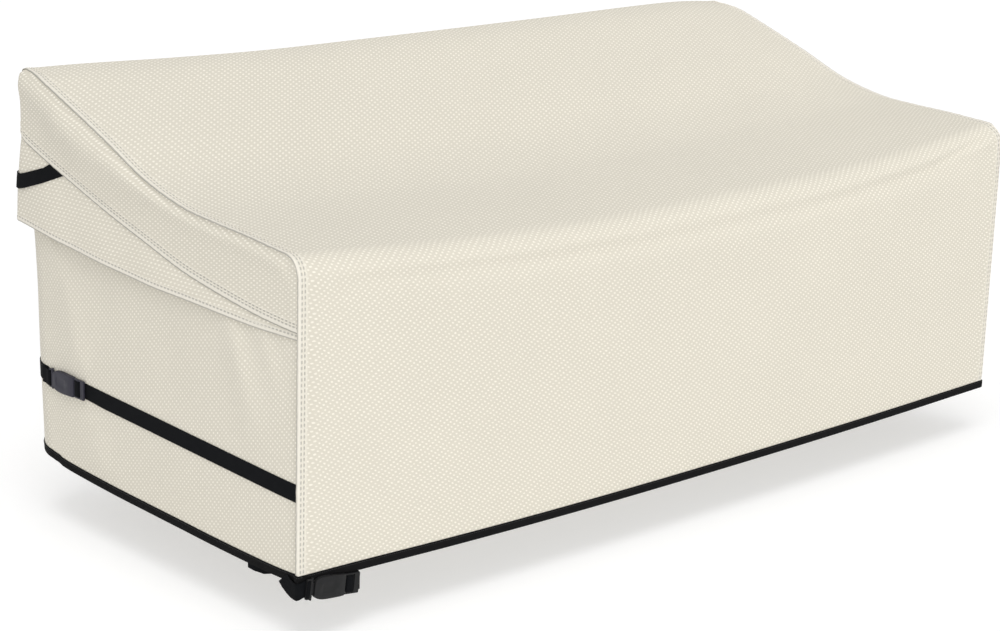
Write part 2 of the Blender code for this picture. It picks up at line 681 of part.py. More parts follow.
def plate(name, outline, holes, bottom, thick):
    """A flat moulded plate: an outline, mirrored about its length, with slots cut through."""
    curve = bpy.data.curves.new(name, "CURVE")
    curve.dimensions = "2D"
    curve.fill_mode = "BOTH"
    curve.bevel_depth = EDGE_BEVEL
    curve.bevel_resolution = 0
    curve.offset = -EDGE_BEVEL
    curve.extrude = thick / 2 - EDGE_BEVEL
    loops = [[(x, -half) for x, half in outline] + [(x, half) for x, half in reversed(outline)]]
    loops += [[(x0, -SLOT_HALF), (x0, SLOT_HALF), (x1, SLOT_HALF), (x1, -SLOT_HALF)] for x0, x1 in holes]
    for loop in loops:
        spline = curve.splines.new("POLY")
        spline.points.add(len(loop) - 1)
        spline.use_cyclic_u = True
        for point, (x, y) in zip(spline.points, loop):
            point.co = (x, y, 0.0, 1.0)
    guide = bpy.data.objects.new(name + "_guide", curve)
    cutters.objects.link(guide)
    bpy.context.view_layer.update()
    mesh = bpy.data.meshes.new_from_object(guide.evaluated_get(bpy.context.evaluated_depsgraph_get()))
    bpy.data.objects.remove(guide)
    mesh.transform(Matrix.Translation((0.0, 0.0, bottom + thick / 2)))
    bm = bmesh.new()
    bm.from_mesh(mesh)
    bmesh.ops.remove_doubles(bm, verts=bm.verts[:], dist=0.00001)
    bm.to_mesh(mesh)
    bm.free()
    mesh.materials.clear()
    mesh.name = name
    return mesh


def joined(name, body, other):
    """One mesh made from two that overlap."""
    first = bpy.data.objects.new(name + "_body", body)
    second = bpy.data.objects.new(name + "_plate", other)
    for guide in (first, second):
        cutters.objects.link(guide)
        guide.hide_render = True
        guide.display_type = "WIRE"
    union = first.modifiers.new("union", "BOOLEAN")
    union.operation = "UNION"
    union.object = second
    bpy.context.view_layer.update()
    mesh = bpy.data.meshes.new_from_object(first.evaluated_get(bpy.context.evaluated_depsgraph_get()))
    for guide in (first, second):
        bpy.data.objects.remove(guide)
    mesh.materials.clear()
    mesh.name = name
    return mesh


def build_buckles():
    """Both halves of the side buckle and of the foot strap's buckle."""
    male = plate("buckle_male", MALE_OUTLINE, (MALE_SLOT,), PLATE_BOTTOM, PLATE_THICK)
    body = plate("buckle_body", BODY_OUTLINE, (), BODY_BOTTOM, BODY_THICK)
    ladder = plate("buckle_ladder", LADDER_OUTLINE, LADDER_SLOTS, PLATE_BOTTOM, PLATE_THICK)
    female = joined("buckle_female", body, ladder)
    for prefix, place in (("belt", belt_buckle_place()), ("foot", foot_buckle_place())):
        for half, mesh in (("male", male), ("female", female)):
            obj = add_object(prefix + "_buckle_" + half, mesh.copy(), "plastic")
            obj.matrix_local = place


def ribbon_column(centre, across):
    """Edge points of webbing at one stop of its centre line."""
    reach = Vector(across).normalized() * (SLOT_HALF - SLOT_PLAY)
    return [Vector(centre) + reach, Vector(centre) - reach]


def build_foot_strap():
    """The strap round the front left foot: from the side hem to the buckle, and round behind."""
    place = foot_buckle_place()
    front = [ribbon_column(stop[:3], stop[3:]) for stop in FOOT_FRONT]
    front += buckle_route(MALE_THREAD[:FOOT_THREAD_STOPS], place)
    sheet("foot_strap_front", front, "webbing", WEBBING, offset=0.0)
    hem_inside = HALF_WIDTH - inset(SIDE_STATIONS[0], 3) - CLOTH - GAP - TAPE
    seat_y = FOOT_SEAT[-1][1]
    seat_x = -hem_inside - side_line("hem_out", seat_y) + GAP + WEBBING / 2
    stops = list(FOOT_BEHIND) + [(seat_x + off, y, z) for off, y, z in FOOT_SEAT]
    behind = buckle_route(LADDER_THREAD[::-1], place)
    behind += [ribbon_column(stop, (0.0, 0.0, -1.0)) for stop in stops]
    sheet("foot_strap_back", behind, "webbing", WEBBING, offset=0.0)


# ---- main ------------------------------------------------------------------------------------------------------
for old in list(bpy.data.objects):
    bpy.data.objects.remove(old)
parts = bpy.data.collections.new("sofa_cover")
cutters = bpy.data.collections.new("cutters")
bpy.context.scene.collection.children.link(parts)
bpy.context.scene.collection.children.link(cutters)
ORIGIN_HEIGHT = RIDGE_HEIGHT - drape("ridge_drop", 0.0) - CLOTH
origin = bpy.data.objects.new("cover_origin", None)
origin.location = (0.0, -RIDGE_Y, -ORIGIN_HEIGHT)
parts.objects.link(origin)

sheet("centre_panel", centre_panel_grid())
for side, hand in ((-1, "left"), (1, "right")):
    sheet("gore_" + hand, gore_grid(side))
    sheet("vent_flap_" + hand, wall_grid(SIDE_STATIONS, side, flap_rows, flap_point))
    sheet("lower_panel_" + hand,
          wall_grid(SIDE_STATIONS, side, lambda s, side=side: lower_rows(s, side), lower_point))
sheet("vent_flap_back", wall_grid(BACK_STATIONS, 1, flap_rows, flap_point))
sheet("lower_panel_back", wall_grid(BACK_STATIONS, 1, lambda s: lower_rows(s, 1), lower_point))
build_binding()
build_belt()
build_handle(-1, "left")
build_handle(1, "right")
build_buckles()
build_foot_strap()
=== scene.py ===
"""Looks of the outdoor sofa cover: fine cloth, stitching, binding, webbing, buckles, floor and light.

The shapes are worked out in cover coordinates, as the part's source does: x from the middle, with the
left side at -x, y back from the front face, and z up from the hem at the front corners, in metres.
`to_row` moves them to the row's frame, whose origin lies under the middle of the ridge.
"""
import logging
import math
import random
from collections.abc import Callable, Iterable, Sequence
from dataclasses import dataclass, field
from enum import Enum

import bmesh
import bpy
import numpy as np
from mathutils import Matrix, Vector


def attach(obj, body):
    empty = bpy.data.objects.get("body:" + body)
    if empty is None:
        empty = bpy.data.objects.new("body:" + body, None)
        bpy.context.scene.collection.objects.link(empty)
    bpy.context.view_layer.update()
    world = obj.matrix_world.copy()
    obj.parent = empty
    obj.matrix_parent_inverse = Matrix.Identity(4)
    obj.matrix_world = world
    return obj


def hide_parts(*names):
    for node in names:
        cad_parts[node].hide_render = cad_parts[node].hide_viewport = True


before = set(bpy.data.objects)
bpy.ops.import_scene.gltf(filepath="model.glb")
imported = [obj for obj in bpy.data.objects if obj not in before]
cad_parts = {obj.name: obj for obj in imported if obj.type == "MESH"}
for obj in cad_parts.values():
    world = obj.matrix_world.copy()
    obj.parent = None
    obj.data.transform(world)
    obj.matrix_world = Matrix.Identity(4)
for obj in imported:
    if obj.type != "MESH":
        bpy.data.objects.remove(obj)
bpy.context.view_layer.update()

Pair, Triple, Four = tuple[float, float], tuple[float, float, float], tuple[float, float, float, float]
Array, Object, Material = np.ndarray, bpy.types.Object, bpy.types.Material
Node, NodeTree, Socket = bpy.types.Node, bpy.types.NodeTree, bpy.types.NodeSocket

LOG = logging.getLogger("sofa_cover")
BODY = "root"


class Slot(Enum):
    """Material slots of the record."""

    FABRIC = "fabric"
    BINDING = "binding"
    WEBBING = "webbing"
    PLASTIC = "plastic"


class Kind(Enum):
    """Stretches of a wall's outline, seen in plan."""

    SIDE = "side"
    RUN = "run"
    ARC = "arc"
    TAIL = "tail"
    BACK = "back"


class Stretch(Enum):
    """Stretches of the centre panel, from the front hem to the seam across the back."""

    FACE = "face"
    FOLD = "fold"
    TOP = "top"
    RIDGE = "ridge"
    BACK = "back"


@dataclass(frozen=True)
class Station:
    """A place along a wall: a distance, a share, an angle or an x, by its kind."""

    kind: Kind
    place: float


@dataclass(frozen=True)
class Lines:
    """A table of named columns that is read at any place between its rows."""

    names: tuple[str, ...]
    rows: tuple[tuple[float, ...], ...]

    def at(self, name: str, place: float) -> float:
        """Value of a column at a place, smooth between rows and flat past its ends.

        Args:
            name: the column's name.
            place: where to read, in the table's first column.

        Returns:
            The value there.
        """
        rows, column = self.rows, self.names.index(name)
        if place <= rows[0][0]:
            return rows[0][column]
        if place >= rows[-1][0]:
            return rows[-1][column]
        last = len(rows) - 1
        i = max(k for k in range(last) if rows[k][0] <= place)
        x0, x1 = rows[i][0], rows[i + 1][0]
        v0, v1 = rows[i][column], rows[i + 1][column]
        before = after = (v1 - v0) / (x1 - x0)
        if i > 0:
            before = (v1 - rows[i - 1][column]) / (x1 - rows[i - 1][0])
        if i + 2 <= last:
            after = (rows[i + 2][column] - v0) / (rows[i + 2][0] - x0)
        width = x1 - x0
        t = (place - x0) / width
        return (v0 * (1 + 2 * t) * (1 - t) ** 2 + v1 * t * t * (3 - 2 * t)
                + width * (before * t * (1 - t) ** 2 + after * t * t * (t - 1)))


# ---- sizes shared by all pieces -------------------------------------------------------------------
HALF_WIDTH = 1.0
DEPTH = 0.908
FRONT_HEIGHT = 0.598
RIDGE_HEIGHT = 0.797
CORNER_RADIUS = 0.032
CLOTH = 0.0015
WEBBING = 0.0016
TAPE = 0.0010
GAP = 0.0003
LAYER = CLOTH + GAP
SEAM_LAP = 0.010
BINDING_HEIGHT = 0.018
BACK_SEAM = 0.860
BACK_SEAM_HEIGHT = 0.678
WEBBING_WIDTH = 0.033
HANDLE_WIDTH = 0.030
FRONT_EDGE = CLOTH + 2 * GAP
RIDGE_Y = DEPTH - CORNER_RADIUS
SIDE_RUN_END = 0.765
GORE_TAIL = 0.12
FLAP_BULGE = 0.2
FLAP_TURN = 0.6
SIDES = ((-1, "left"), (1, "right"))
TOP_MEET = 0.06                 # how far behind the fold the top line is reached
# counts of fine stations along the stretches of a wall, and of rows along those of the centre panel
SIDE_COUNT, RUN_COUNT, ARC_COUNT, BACK_COUNT = 82, 10, 17, 116
SIDE_FIRST, SIDE_LAST = 0.006, SIDE_RUN_END - 0.008
TAIL_SHARES = (0.06, GORE_TAIL, 0.25, 0.4, 0.55, 0.7, 0.85, 1.0)
PANEL_STRETCHES = (
    # stretch, first place, last place, count
    (Stretch.FACE, 0.0, 1.0, 52), (Stretch.FOLD, 0.0, 90.0, 13), (Stretch.TOP, 0.0, 1.0, 88),
    (Stretch.RIDGE, 90.0, 0.0, 9), (Stretch.BACK, 0.0, 1.0, 9),
)

DRAPE = Lines(
    ("x", "front_drop", "fold_radius", "groove", "belly", "hem_z", "ridge_drop"),
    (
        (-1.00, 0.0000, 0.045, 0.000, 0.000, -0.002, 0.000),
        (-0.86, 0.0095, 0.046, 0.002, 0.003, -0.004, 0.003),
        (-0.65, 0.0260, 0.050, 0.005, 0.008, -0.008, 0.011),
        (-0.41, 0.0370, 0.053, 0.006, 0.012, -0.011, 0.017),
        (-0.15, 0.0430, 0.055, 0.006, 0.015, -0.012, 0.017),
        (0.13, 0.0390, 0.055, 0.006, 0.015, -0.012, 0.016),
        (0.43, 0.0340, 0.052, 0.006, 0.012, -0.012, 0.014),
        (0.70, 0.0200, 0.050, 0.006, 0.007, -0.011, 0.011),
        (0.86, 0.0030, 0.046, 0.004, 0.003, -0.010, 0.012),
        (1.00, -0.0090, 0.045, 0.000, 0.000, -0.009, 0.021),
    ),
)
GROOVE_BELOW_FOLD = 0.052
GROOVE_WIDTH = 0.022
TOP_LINE = Lines(
    ("y", "z"),
    (
        (0.045, 0.5965), (0.135, 0.606), (0.259, 0.614), (0.348, 0.623), (0.467, 0.653),
        (0.589, 0.703), (0.730, 0.757), (0.816, 0.787), (RIDGE_Y, RIDGE_HEIGHT),
    ),
)
SIDE_LINES = Lines(
    ("y", "seam_z", "flap_z", "flap_out", "belt_z", "hem_rise", "hem_out"),
    (
        (0.000, 0.460, 0.448, 0.000, 0.1665, 0.0000, 0.0000),
        (0.060, 0.463, 0.447, 0.002, 0.1686, -0.0020, 0.0020),
        (0.135, 0.469, 0.446, 0.004, 0.1712, -0.0025, 0.0020),
        (0.259, 0.486, 0.450, 0.007, 0.1756, -0.0015, 0.0015),
        (0.350, 0.502, 0.453, 0.009, 0.1788, 0.0005, 0.0010),
        (0.462, 0.531, 0.457, 0.011, 0.1827, 0.0025, 0.0000),
        (0.593, 0.566, 0.467, 0.013, 0.1873, 0.0060, 0.0000),
        (0.735, 0.609, 0.480, 0.015, 0.1915, 0.0130, 0.0000),
        (0.793, 0.627, 0.487, 0.015, 0.1930, 0.0190, 0.0000),
        (0.873, 0.655, 0.494, 0.013, 0.1945, 0.0225, 0.0000),
        (0.893, 0.669, 0.495, 0.012, 0.1950, 0.0262, 0.0000),
        (DEPTH, BACK_SEAM_HEIGHT, 0.496, 0.012, 0.1950, 0.0285, 0.0000),
    ),
)
LOWER_CORNER = Lines(
    ("z", "radius"),
    (
        (0.000, 0.112), (0.240, 0.096), (0.440, 0.087), (0.540, 0.066), (0.640, 0.036),
        (0.660, CORNER_RADIUS), (0.700, CORNER_RADIUS),
    ),
)
FOLDS = (
    # y_low, y_high, width, height
    (0.120, 0.190, 0.050, 0.0045),
    (0.400, 0.390, 0.080, -0.0030),
    (0.687, 0.684, 0.050, 0.0050),
)
FOLD_BOTTOM = 0.215
FOLD_TOP = 0.455
ORIGIN_HEIGHT = RIDGE_HEIGHT - DRAPE.at("ridge_drop", 0.0) - CLOTH
INSIDE = np.array((0.0, 0.45, 0.30))


def to_row(points: Array) -> Array:
    """Cover coordinates moved to the row's frame."""
    return np.asarray(points, float) - np.array((0.0, RIDGE_Y, ORIGIN_HEIGHT))


def spread(low: float, high: float, count: int) -> list[float]:
    """Evenly spaced values from low to high, both ends included."""
    return [low + (high - low) * i / (count - 1) for i in range(count)]


def soft_step(value: float) -> float:
    """A smooth step from 0 to 1 as value goes from 0 to 1."""
    value = min(1.0, max(0.0, value))
    return value * value * (3 - 2 * value)


# ---- outlines ------------------------------------------------------------------------------------
def plan_point(station: Station, half: float, depth: float, radius: float) -> tuple:
    """Place in plan of a station on a wall's outline, and its outward normal, on the +x side.

    Args:
        station: the place along the wall.
        half: half the outline's width.
        depth: the outline's depth.
        radius: radius of its rear corner.

    Returns:
        ((x, y), (normal_x, normal_y)).
    """
    if station.kind is Kind.SIDE:
        return (half, station.place), (1.0, 0.0)
    if station.kind is Kind.RUN:
        return (half, SIDE_RUN_END + station.place * (depth - radius - SIDE_RUN_END)), (1.0, 0.0)
    if station.kind is Kind.ARC:
        turn = math.radians(station.place)
        normal = (math.cos(turn), math.sin(turn))
        return (half - radius + radius * normal[0], depth - radius + radius * normal[1]), normal
    if station.kind is Kind.TAIL:
        arc_end = half - radius
        return (arc_end + station.place * (BACK_SEAM + GAP / 2 - arc_end), depth), (0.0, 1.0)
    return (station.place, depth), (0.0, 1.0)


def station_y(station: Station) -> float:
    """Distance back from the front face at which a station reads the side lines."""
    return plan_point(station, HALF_WIDTH, DEPTH, CORNER_RADIUS)[0][1]


def inset(station: Station, layer: float) -> float:
    """How far inside the outermost cloth a layer lies; on the back the layers close up by one.

    Args:
        station: the place along the wall.
        layer: which layer of the lapped seams the cloth is.

    Returns:
        The depth.
    """
    if station.kind is Kind.BACK:
        return LAYER * (layer - 1)
    if station.kind is Kind.TAIL and layer > 1:
        return LAYER * (layer - max(0.0, (station.place - GORE_TAIL) / (1 - GORE_TAIL)))
    return LAYER * layer


def wall_point(station: Station, side: int, z: float, layer: float, out: float = 0.0,
               radius: float = CORNER_RADIUS) -> tuple[Array, Array]:
    """Point on a wall and its outward normal.

    Args:
        station: the place along the wall.
        side: -1 left, 1 right, and 1 for the back.
        z: height above the hem.
        layer: which layer of the lapped seams the cloth is.
        out: how far it stands out.
        radius: radius of the rear corner.

    Returns:
        (point, normal), as arrays.
    """
    deep = inset(station, layer)
    (x, y), (nx, ny) = plan_point(station, HALF_WIDTH + out - deep, DEPTH + out - deep, radius - deep)
    return np.array((x * side, y, z)), np.array((nx * side, ny, 0.0))


def hem_z(station: Station, side: int) -> float:
    """Height of the hem at a station.

    Args:
        station: the place along the wall.
        side: -1 left, 1 right.

    Returns:
        The height, in cover coordinates.
    """
    left, right = DRAPE.at("hem_z", -HALF_WIDTH), DRAPE.at("hem_z", HALF_WIDTH)
    x = side * HALF_WIDTH
    if station.kind is Kind.BACK:
        x = station.place
    if station.kind is Kind.TAIL:
        x = side * plan_point(station, HALF_WIDTH, DEPTH, CORNER_RADIUS)[0][0]
    level = left + (right - left) * (x + HALF_WIDTH) / (2 * HALF_WIDTH)
    return level + SIDE_LINES.at("hem_rise", station_y(station))


def fold_height(station: Station, z: float) -> float:
    """Outward height of the upright folds on a lower side panel.

    Args:
        station: the place along the wall.
        z: height above the hem.

    Returns:
        How far the folds stand out there.
    """
    if station.kind not in (Kind.SIDE, Kind.RUN) or not FOLD_BOTTOM < z < FOLD_TOP:
        return 0.0
    up = (z - FOLD_BOTTOM) / (FOLD_TOP - FOLD_BOTTOM)
    total = 0.0
    for y_low, y_high, width, height in FOLDS:
        place = y_low + (y_high - y_low) * up
        total += height * math.exp(-((station_y(station) - place) / width) ** 2)
    return total * math.sin(math.pi * up)


def lower_point(station: Station, side: int, z: float) -> tuple[Array, Array]:
    """Point and normal on the outer face of the lower panels.

    Args:
        station: the place along the wall.
        side: -1 left, 1 right.
        z: height above the hem.

    Returns:
        (point, normal), as arrays.
    """
    lean = 0.0
    if station.kind is Kind.SIDE:
        lean = SIDE_LINES.at("hem_out", station.place) * max(0.0, 1 - z / FOLD_TOP)
    return wall_point(station, side, z, 3, lean + fold_height(station, z), LOWER_CORNER.at("radius", z))


def flap_point(station: Station, side: int, z: float) -> tuple[Array, Array]:
    """Point and normal on the outer face of the vent flap, which stands out at its free edge.

    Args:
        station: the place along the wall.
        side: -1 left, 1 right.
        z: height above the hem.

    Returns:
        (point, normal), as arrays.
    """
    y = station_y(station)
    seam, edge = SIDE_LINES.at("seam_z", y), SIDE_LINES.at("flap_z", y)
    hang = min(1.0, max(0.0, (seam - z) / (seam - edge)))
    out = SIDE_LINES.at("flap_out", y) * (hang + FLAP_BULGE * math.sin(math.pi * hang))
    return wall_point(station, side, z, 2, out, CORNER_RADIUS + FLAP_TURN * out)


def side_stations() -> list[Station]:
    """Fine stations from the front edge round the rear corner to the upright seam in the back."""
    found = [Station(Kind.SIDE, y) for y in [FRONT_EDGE] + spread(SIDE_FIRST, SIDE_LAST, SIDE_COUNT)]
    found += [Station(Kind.RUN, share) for share in spread(0.0, 1.0, RUN_COUNT)[:-1]]
    found += [Station(Kind.ARC, angle) for angle in spread(0.0, 90.0, ARC_COUNT)]
    return found + [Station(Kind.TAIL, share) for share in TAIL_SHARES]


def back_stations() -> list[Station]:
    """Fine stations across the back, from left to right."""
    end = BACK_SEAM - GAP / 2
    return [Station(Kind.BACK, x) for x in spread(-end, end, BACK_COUNT)]


# ---- centre panel's profile -----------------------------------------------------------------------
@dataclass(frozen=True)
class PanelRow:
    """A row of the centre panel: a stretch of its profile and the share or the angle along it."""

    stretch: Stretch
    place: float


def panel_rows() -> list[PanelRow]:
    """Fine rows of the centre panel, from the front hem to the seam across the back."""
    rows = [PanelRow(stretch, place) for stretch, first, last, count in PANEL_STRETCHES
            for place in spread(first, last, count)[:-1]]
    return rows + [PanelRow(Stretch.BACK, 1.0)]


def panel_point(row: PanelRow, x: float) -> Triple:
    """Point of the centre panel's outer face.

    Args:
        row: the row along the panel.
        x: the column.

    Returns:
        (half-width share, y, z).
    """
    radius = DRAPE.at("fold_radius", x)
    drop = DRAPE.at("front_drop", x)
    top = FRONT_HEIGHT - drop
    fold_bottom, hem = top - radius, DRAPE.at("hem_z", x) + TAPE + GAP
    tuck = DRAPE.at("groove", x)

    def groove(z: float) -> float:
        """Depth of the groove under the fold at height z."""
        return tuck * math.exp(-((z - top + GROOVE_BELOW_FOLD) / GROOVE_WIDTH) ** 2)

    if row.stretch is Stretch.FACE:
        z = hem + row.place * (fold_bottom - hem)
        return 1.0, -DRAPE.at("belly", x) * (1 - row.place) + groove(z), z
    if row.stretch is Stretch.FOLD:
        turn = math.radians(row.place)
        z = fold_bottom + radius * math.sin(turn)
        return 1.0, radius * (1 - math.cos(turn)) + groove(z), z
    if row.stretch is Stretch.TOP:
        y = radius + row.place * (RIDGE_Y - radius)
        sag = drop + (DRAPE.at("ridge_drop", x) - drop) * row.place
        meet = (FRONT_HEIGHT - TOP_LINE.rows[0][1]) * (1 - soft_step((y - radius) / TOP_MEET))
        return 1.0, y, TOP_LINE.at("z", y) - sag + meet
    centre = RIDGE_HEIGHT - DRAPE.at("ridge_drop", x) - CORNER_RADIUS
    turn = math.radians(row.place if row.stretch is Stretch.RIDGE else 0.0)
    share = (HALF_WIDTH - CORNER_RADIUS * (1 - math.sin(turn))) / HALF_WIDTH
    z = centre + CORNER_RADIUS * math.sin(turn)
    if row.stretch is Stretch.BACK:
        z += row.place * (BACK_SEAM_HEIGHT - z)
    return share, RIDGE_Y + CORNER_RADIUS * math.cos(turn), z


def offset_inward(line: Sequence[Pair], distance: float) -> list[Pair]:
    """A (y, z) line that runs up the front and over the top, moved inward.

    Args:
        line: its points.
        distance: how far to move it.

    Returns:
        The moved points.
    """
    moved = []
    for i, (y, z) in enumerate(line):
        normals = []
        for a, b in ((i - 1, i), (i, i + 1)):
            if a >= 0 and b < len(line):
                dy, dz = line[b][0] - line[a][0], line[b][1] - line[a][1]
                length = math.hypot(dy, dz)
                normals.append((dz / length, -dy / length))
        ny, nz = sum(n[0] for n in normals), sum(n[1] for n in normals)
        length = math.hypot(ny, nz)
        reach = distance / ((ny * normals[0][0] + nz * normals[0][1]) / length)
        moved.append((y + ny / length * reach, z + nz / length * reach))
    return moved


# ---- cloth ---------------------------------------------------------------------------------------
CLOTH_SMOOTH, THREAD_SMOOTH, PLASTIC_SMOOTH = 50.0, 60.0, 32.0      # largest angles shaded smooth


@dataclass(frozen=True)
class Crease:
    """A soft ridge or trough along a line on a panel, seen along one axis.

    Its stops are (a, b, height, width) rows: two coordinates across that axis, how far the cloth
    stands out, less than zero for a trough, and the half width of the form.
    """

    axis: int
    stops: tuple[Four, ...]
    inner: float = 1.0          # width on the lower or near side, as a share of the other side's

    def heights(self, points: Array) -> Array:
        """Outward height of the crease at each point.

        Args:
            points: places on the panel, in cover coordinates, as an array (..., 3).

        Returns:
            The heights, as an array (...).
        """
        flat = np.delete(points, self.axis, axis=-1)
        best = np.full(flat.shape[:-1], np.inf)
        value = np.zeros(flat.shape[:-1])
        for start, end in zip(self.stops, self.stops[1:]):
            origin, reach = np.array(start[:2]), np.array(end[:2]) - np.array(start[:2])
            t = np.clip((flat - origin) @ reach / (reach @ reach), 0.0, 1.0)
            away = flat - origin - t[..., None] * reach
            gap = np.linalg.norm(away, axis=-1)
            across = reach[0] * away[..., 1] - reach[1] * away[..., 0]
            height = start[2] + (end[2] - start[2]) * t
            width = (start[3] + (end[3] - start[3]) * t) * np.where(across < 0, self.inner, 1.0)
            nearer = gap < best
            value = np.where(nearer, height * np.exp(-((gap / width) ** 2)), value)
            best = np.minimum(gap, best)
        return value


class Cloth:
    """A grid of points on a cloth's outer face, with its weave and seam coordinates."""

    def __init__(self, columns: Sequence[Sequence[Sequence[float]]]) -> None:
        """Measures the lengths along the grid.

        Args:
            columns: the columns of points, in cover coordinates.
        """
        self.points = np.array(columns, float)
        steps_u = np.linalg.norm(np.diff(self.points, axis=0), axis=-1)
        steps_v = np.linalg.norm(np.diff(self.points, axis=1), axis=-1)
        u = np.concatenate([np.zeros((1, self.points.shape[1])), np.cumsum(steps_u, axis=0)])
        v = np.concatenate([np.zeros((self.points.shape[0], 1)), np.cumsum(steps_v, axis=1)], axis=1)
        self.lengths = np.stack([np.broadcast_to(u.mean(axis=1, keepdims=True), v.shape), v], axis=-1)
        self.weave = self.lengths.copy()
        self.seam = np.full(self.weave.shape, 1.0)

    def lay_weave(self, across: Pair, along: tuple[float | Array, float | Array]) -> None:
        """Lays the weave at a slant to the grid, or drawn out along it.

        Args:
            across: how far the weave advances, one way and the other, for each metre across the columns.
            along: the same for each metre along them, each one value or one for each row.
        """
        steps = np.diff(self.lengths[..., 1], axis=1)
        for axis in (0, 1):
            share = np.broadcast_to(along[axis], self.points.shape[1:2])
            self.weave[..., axis] = self.lengths[..., 0] * across[axis]
            self.weave[:, 1:, axis] += np.cumsum(steps * ((share[1:] + share[:-1]) / 2)[None, :], axis=1)

    def hang_weave(self, across: Pair, upright: Pair) -> None:
        """Lays the weave by the length on plan and the height, as it lies on cloth that hangs.

        Args:
            across: how far the weave advances, one way and the other, for each metre on plan.
            upright: the same for each metre of height.
        """
        steps = np.linalg.norm(np.diff(self.points[..., :2], axis=0), axis=-1).mean(axis=1)
        plan = np.concatenate([[0.0], np.cumsum(steps)])[:, None]
        for axis in (0, 1):
            self.weave[..., axis] = plan * across[axis] + self.points[..., 2] * upright[axis]

    def normals(self) -> Array:
        """Outward unit normals of the grid."""
        across = np.gradient(self.points, axis=0)
        along = np.gradient(self.points, axis=1)
        normal = np.cross(across, along)
        normal /= np.maximum(np.linalg.norm(normal, axis=-1, keepdims=True), 1e-12)
        if ((self.points - INSIDE) * normal).sum() < 0:
            normal = -normal
        return normal

    def raise_by(self, heights: Array) -> None:
        """Moves each point out along its normal."""
        self.points = self.points + self.normals() * heights[..., None]

    def crease(self, creases: Iterable[Crease], mask: Array | None = None) -> None:
        """Adds creases to the cloth.

        Args:
            creases: the ridges and troughs.
            mask: share of their height that each point takes, or None for all of it.
        """
        heights = sum(crease.heights(self.points) for crease in creases)
        self.raise_by(heights if mask is None else heights * mask)

    def hem_along(self, distance: Array, along: Array) -> None:
        """Notes a stitched edge: each point keeps the edge that is nearest to it.

        Args:
            distance: how far each point is from the edge.
            along: how far along the edge it is.
        """
        nearer = distance < self.seam[..., 0]
        self.seam[..., 0] = np.where(nearer, distance, self.seam[..., 0])
        self.seam[..., 1] = np.where(nearer, along, self.seam[..., 1])

    def line(self, column: int | None = None, row: int | None = None) -> tuple[Array, Array]:
        """Points and normals along one column or one row."""
        pick = (column, slice(None)) if column is not None else (slice(None), row)
        return self.points[pick], self.normals()[pick]

    def build(self, name: str, finish: Material, thickness: float = CLOTH, offset: float = -1.0) -> Object:
        """Makes the sheet.

        Args:
            name: the piece's name.
            finish: its material.
            thickness: the cloth's thickness.
            offset: which side of the grid it grows to, as in Solidify.

        Returns:
            The finished piece.
        """
        wide, high = self.points.shape[:2]
        points = to_row(self.points).reshape(-1, 3)
        corner = np.arange(wide * high).reshape(wide, high)
        faces = np.stack([corner[:-1, :-1], corner[1:, :-1], corner[1:, 1:], corner[:-1, 1:]], axis=-1)
        faces = faces.reshape(-1, 4)
        a, b, c = (points[faces[:, k]] for k in (0, 1, 3))
        facing = (np.cross(b - a, c - a) * (a - to_row(INSIDE))).sum()
        if facing < 0:
            faces = faces[:, ::-1]
        piece = new_piece(name, points, faces.tolist(), finish)
        loops = np.array([loop.vertex_index for loop in piece.data.loops])
        for label, values in (("weave", self.weave), ("seam", self.seam)):
            layer = piece.data.uv_layers.new(name=label)
            layer.data.foreach_set("uv", values.reshape(-1, 2)[loops].astype(np.float32).ravel())
        solid = piece.modifiers.new("thickness", "SOLIDIFY")
        solid.thickness = thickness
        solid.offset = offset
        solid.use_even_offset = True
        finish_piece(piece, CLOTH_SMOOTH)
        return piece


def new_object(name: str, data: bpy.types.ID) -> Object:
    """Puts some data in the scene as an object.

    Args:
        name: the object's name.
        data: its data.

    Returns:
        The object.
    """
    found = bpy.data.objects.new(name, data)
    bpy.context.scene.collection.objects.link(found)
    return found


def new_piece(name: str, points: Array, faces: list, finish: Material) -> Object:
    """A mesh object with one material.

    Args:
        name: the piece's name.
        points: its points, in the row's frame.
        faces: the indices of each face's points.
        finish: its material.

    Returns:
        The object.
    """
    mesh = bpy.data.meshes.new(name)
    mesh.from_pydata(points.tolist(), [], faces)
    mesh.materials.append(finish)
    return new_object(name, mesh)


def clean(mesh: bpy.types.Mesh, operation: Callable[..., dict], kind: str, **values: float) -> None:
    """Runs one of bmesh's operations on all of a mesh.

    Args:
        mesh: the mesh.
        operation: the operation.
        kind: what it works on, verts or faces.
        values: its other settings.
    """
    bm = bmesh.new()
    bm.from_mesh(mesh)
    operation(bm, **{kind: getattr(bm, kind)[:]}, **values)
    bm.to_mesh(mesh)
    bm.free()


def finish_piece(piece: Object, angle: float) -> None:
    """Applies a piece's modifiers and shades it smooth.

    Args:
        piece: the piece.
        angle: the angle, in degrees, up to which an edge is smooth.
    """
    bpy.ops.object.select_all(action="DESELECT")
    bpy.context.view_layer.objects.active = piece
    piece.select_set(True)
    for modifier in list(piece.modifiers):
        bpy.ops.object.modifier_apply(modifier=modifier.name)
    bpy.ops.object.shade_smooth_by_angle(angle=math.radians(angle))
    piece.select_set(False)


def enter_piece(piece: Object, slot: Slot, *nodes: str) -> Object:
    """Rides a piece on the cover's body and hides the solids that it stands for.

    Args:
        piece: the finished piece.
        slot: the record's material slot; not used.
        nodes: solids that the piece replaces.

    Returns:
        The piece.
    """
    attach(piece, BODY)
    if nodes:
        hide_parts(*nodes)
    faces = sum(len(face.vertices) - 2 for face in piece.data.polygons)
    LOG.info("%s: %d triangles", piece.name, faces)
    return piece


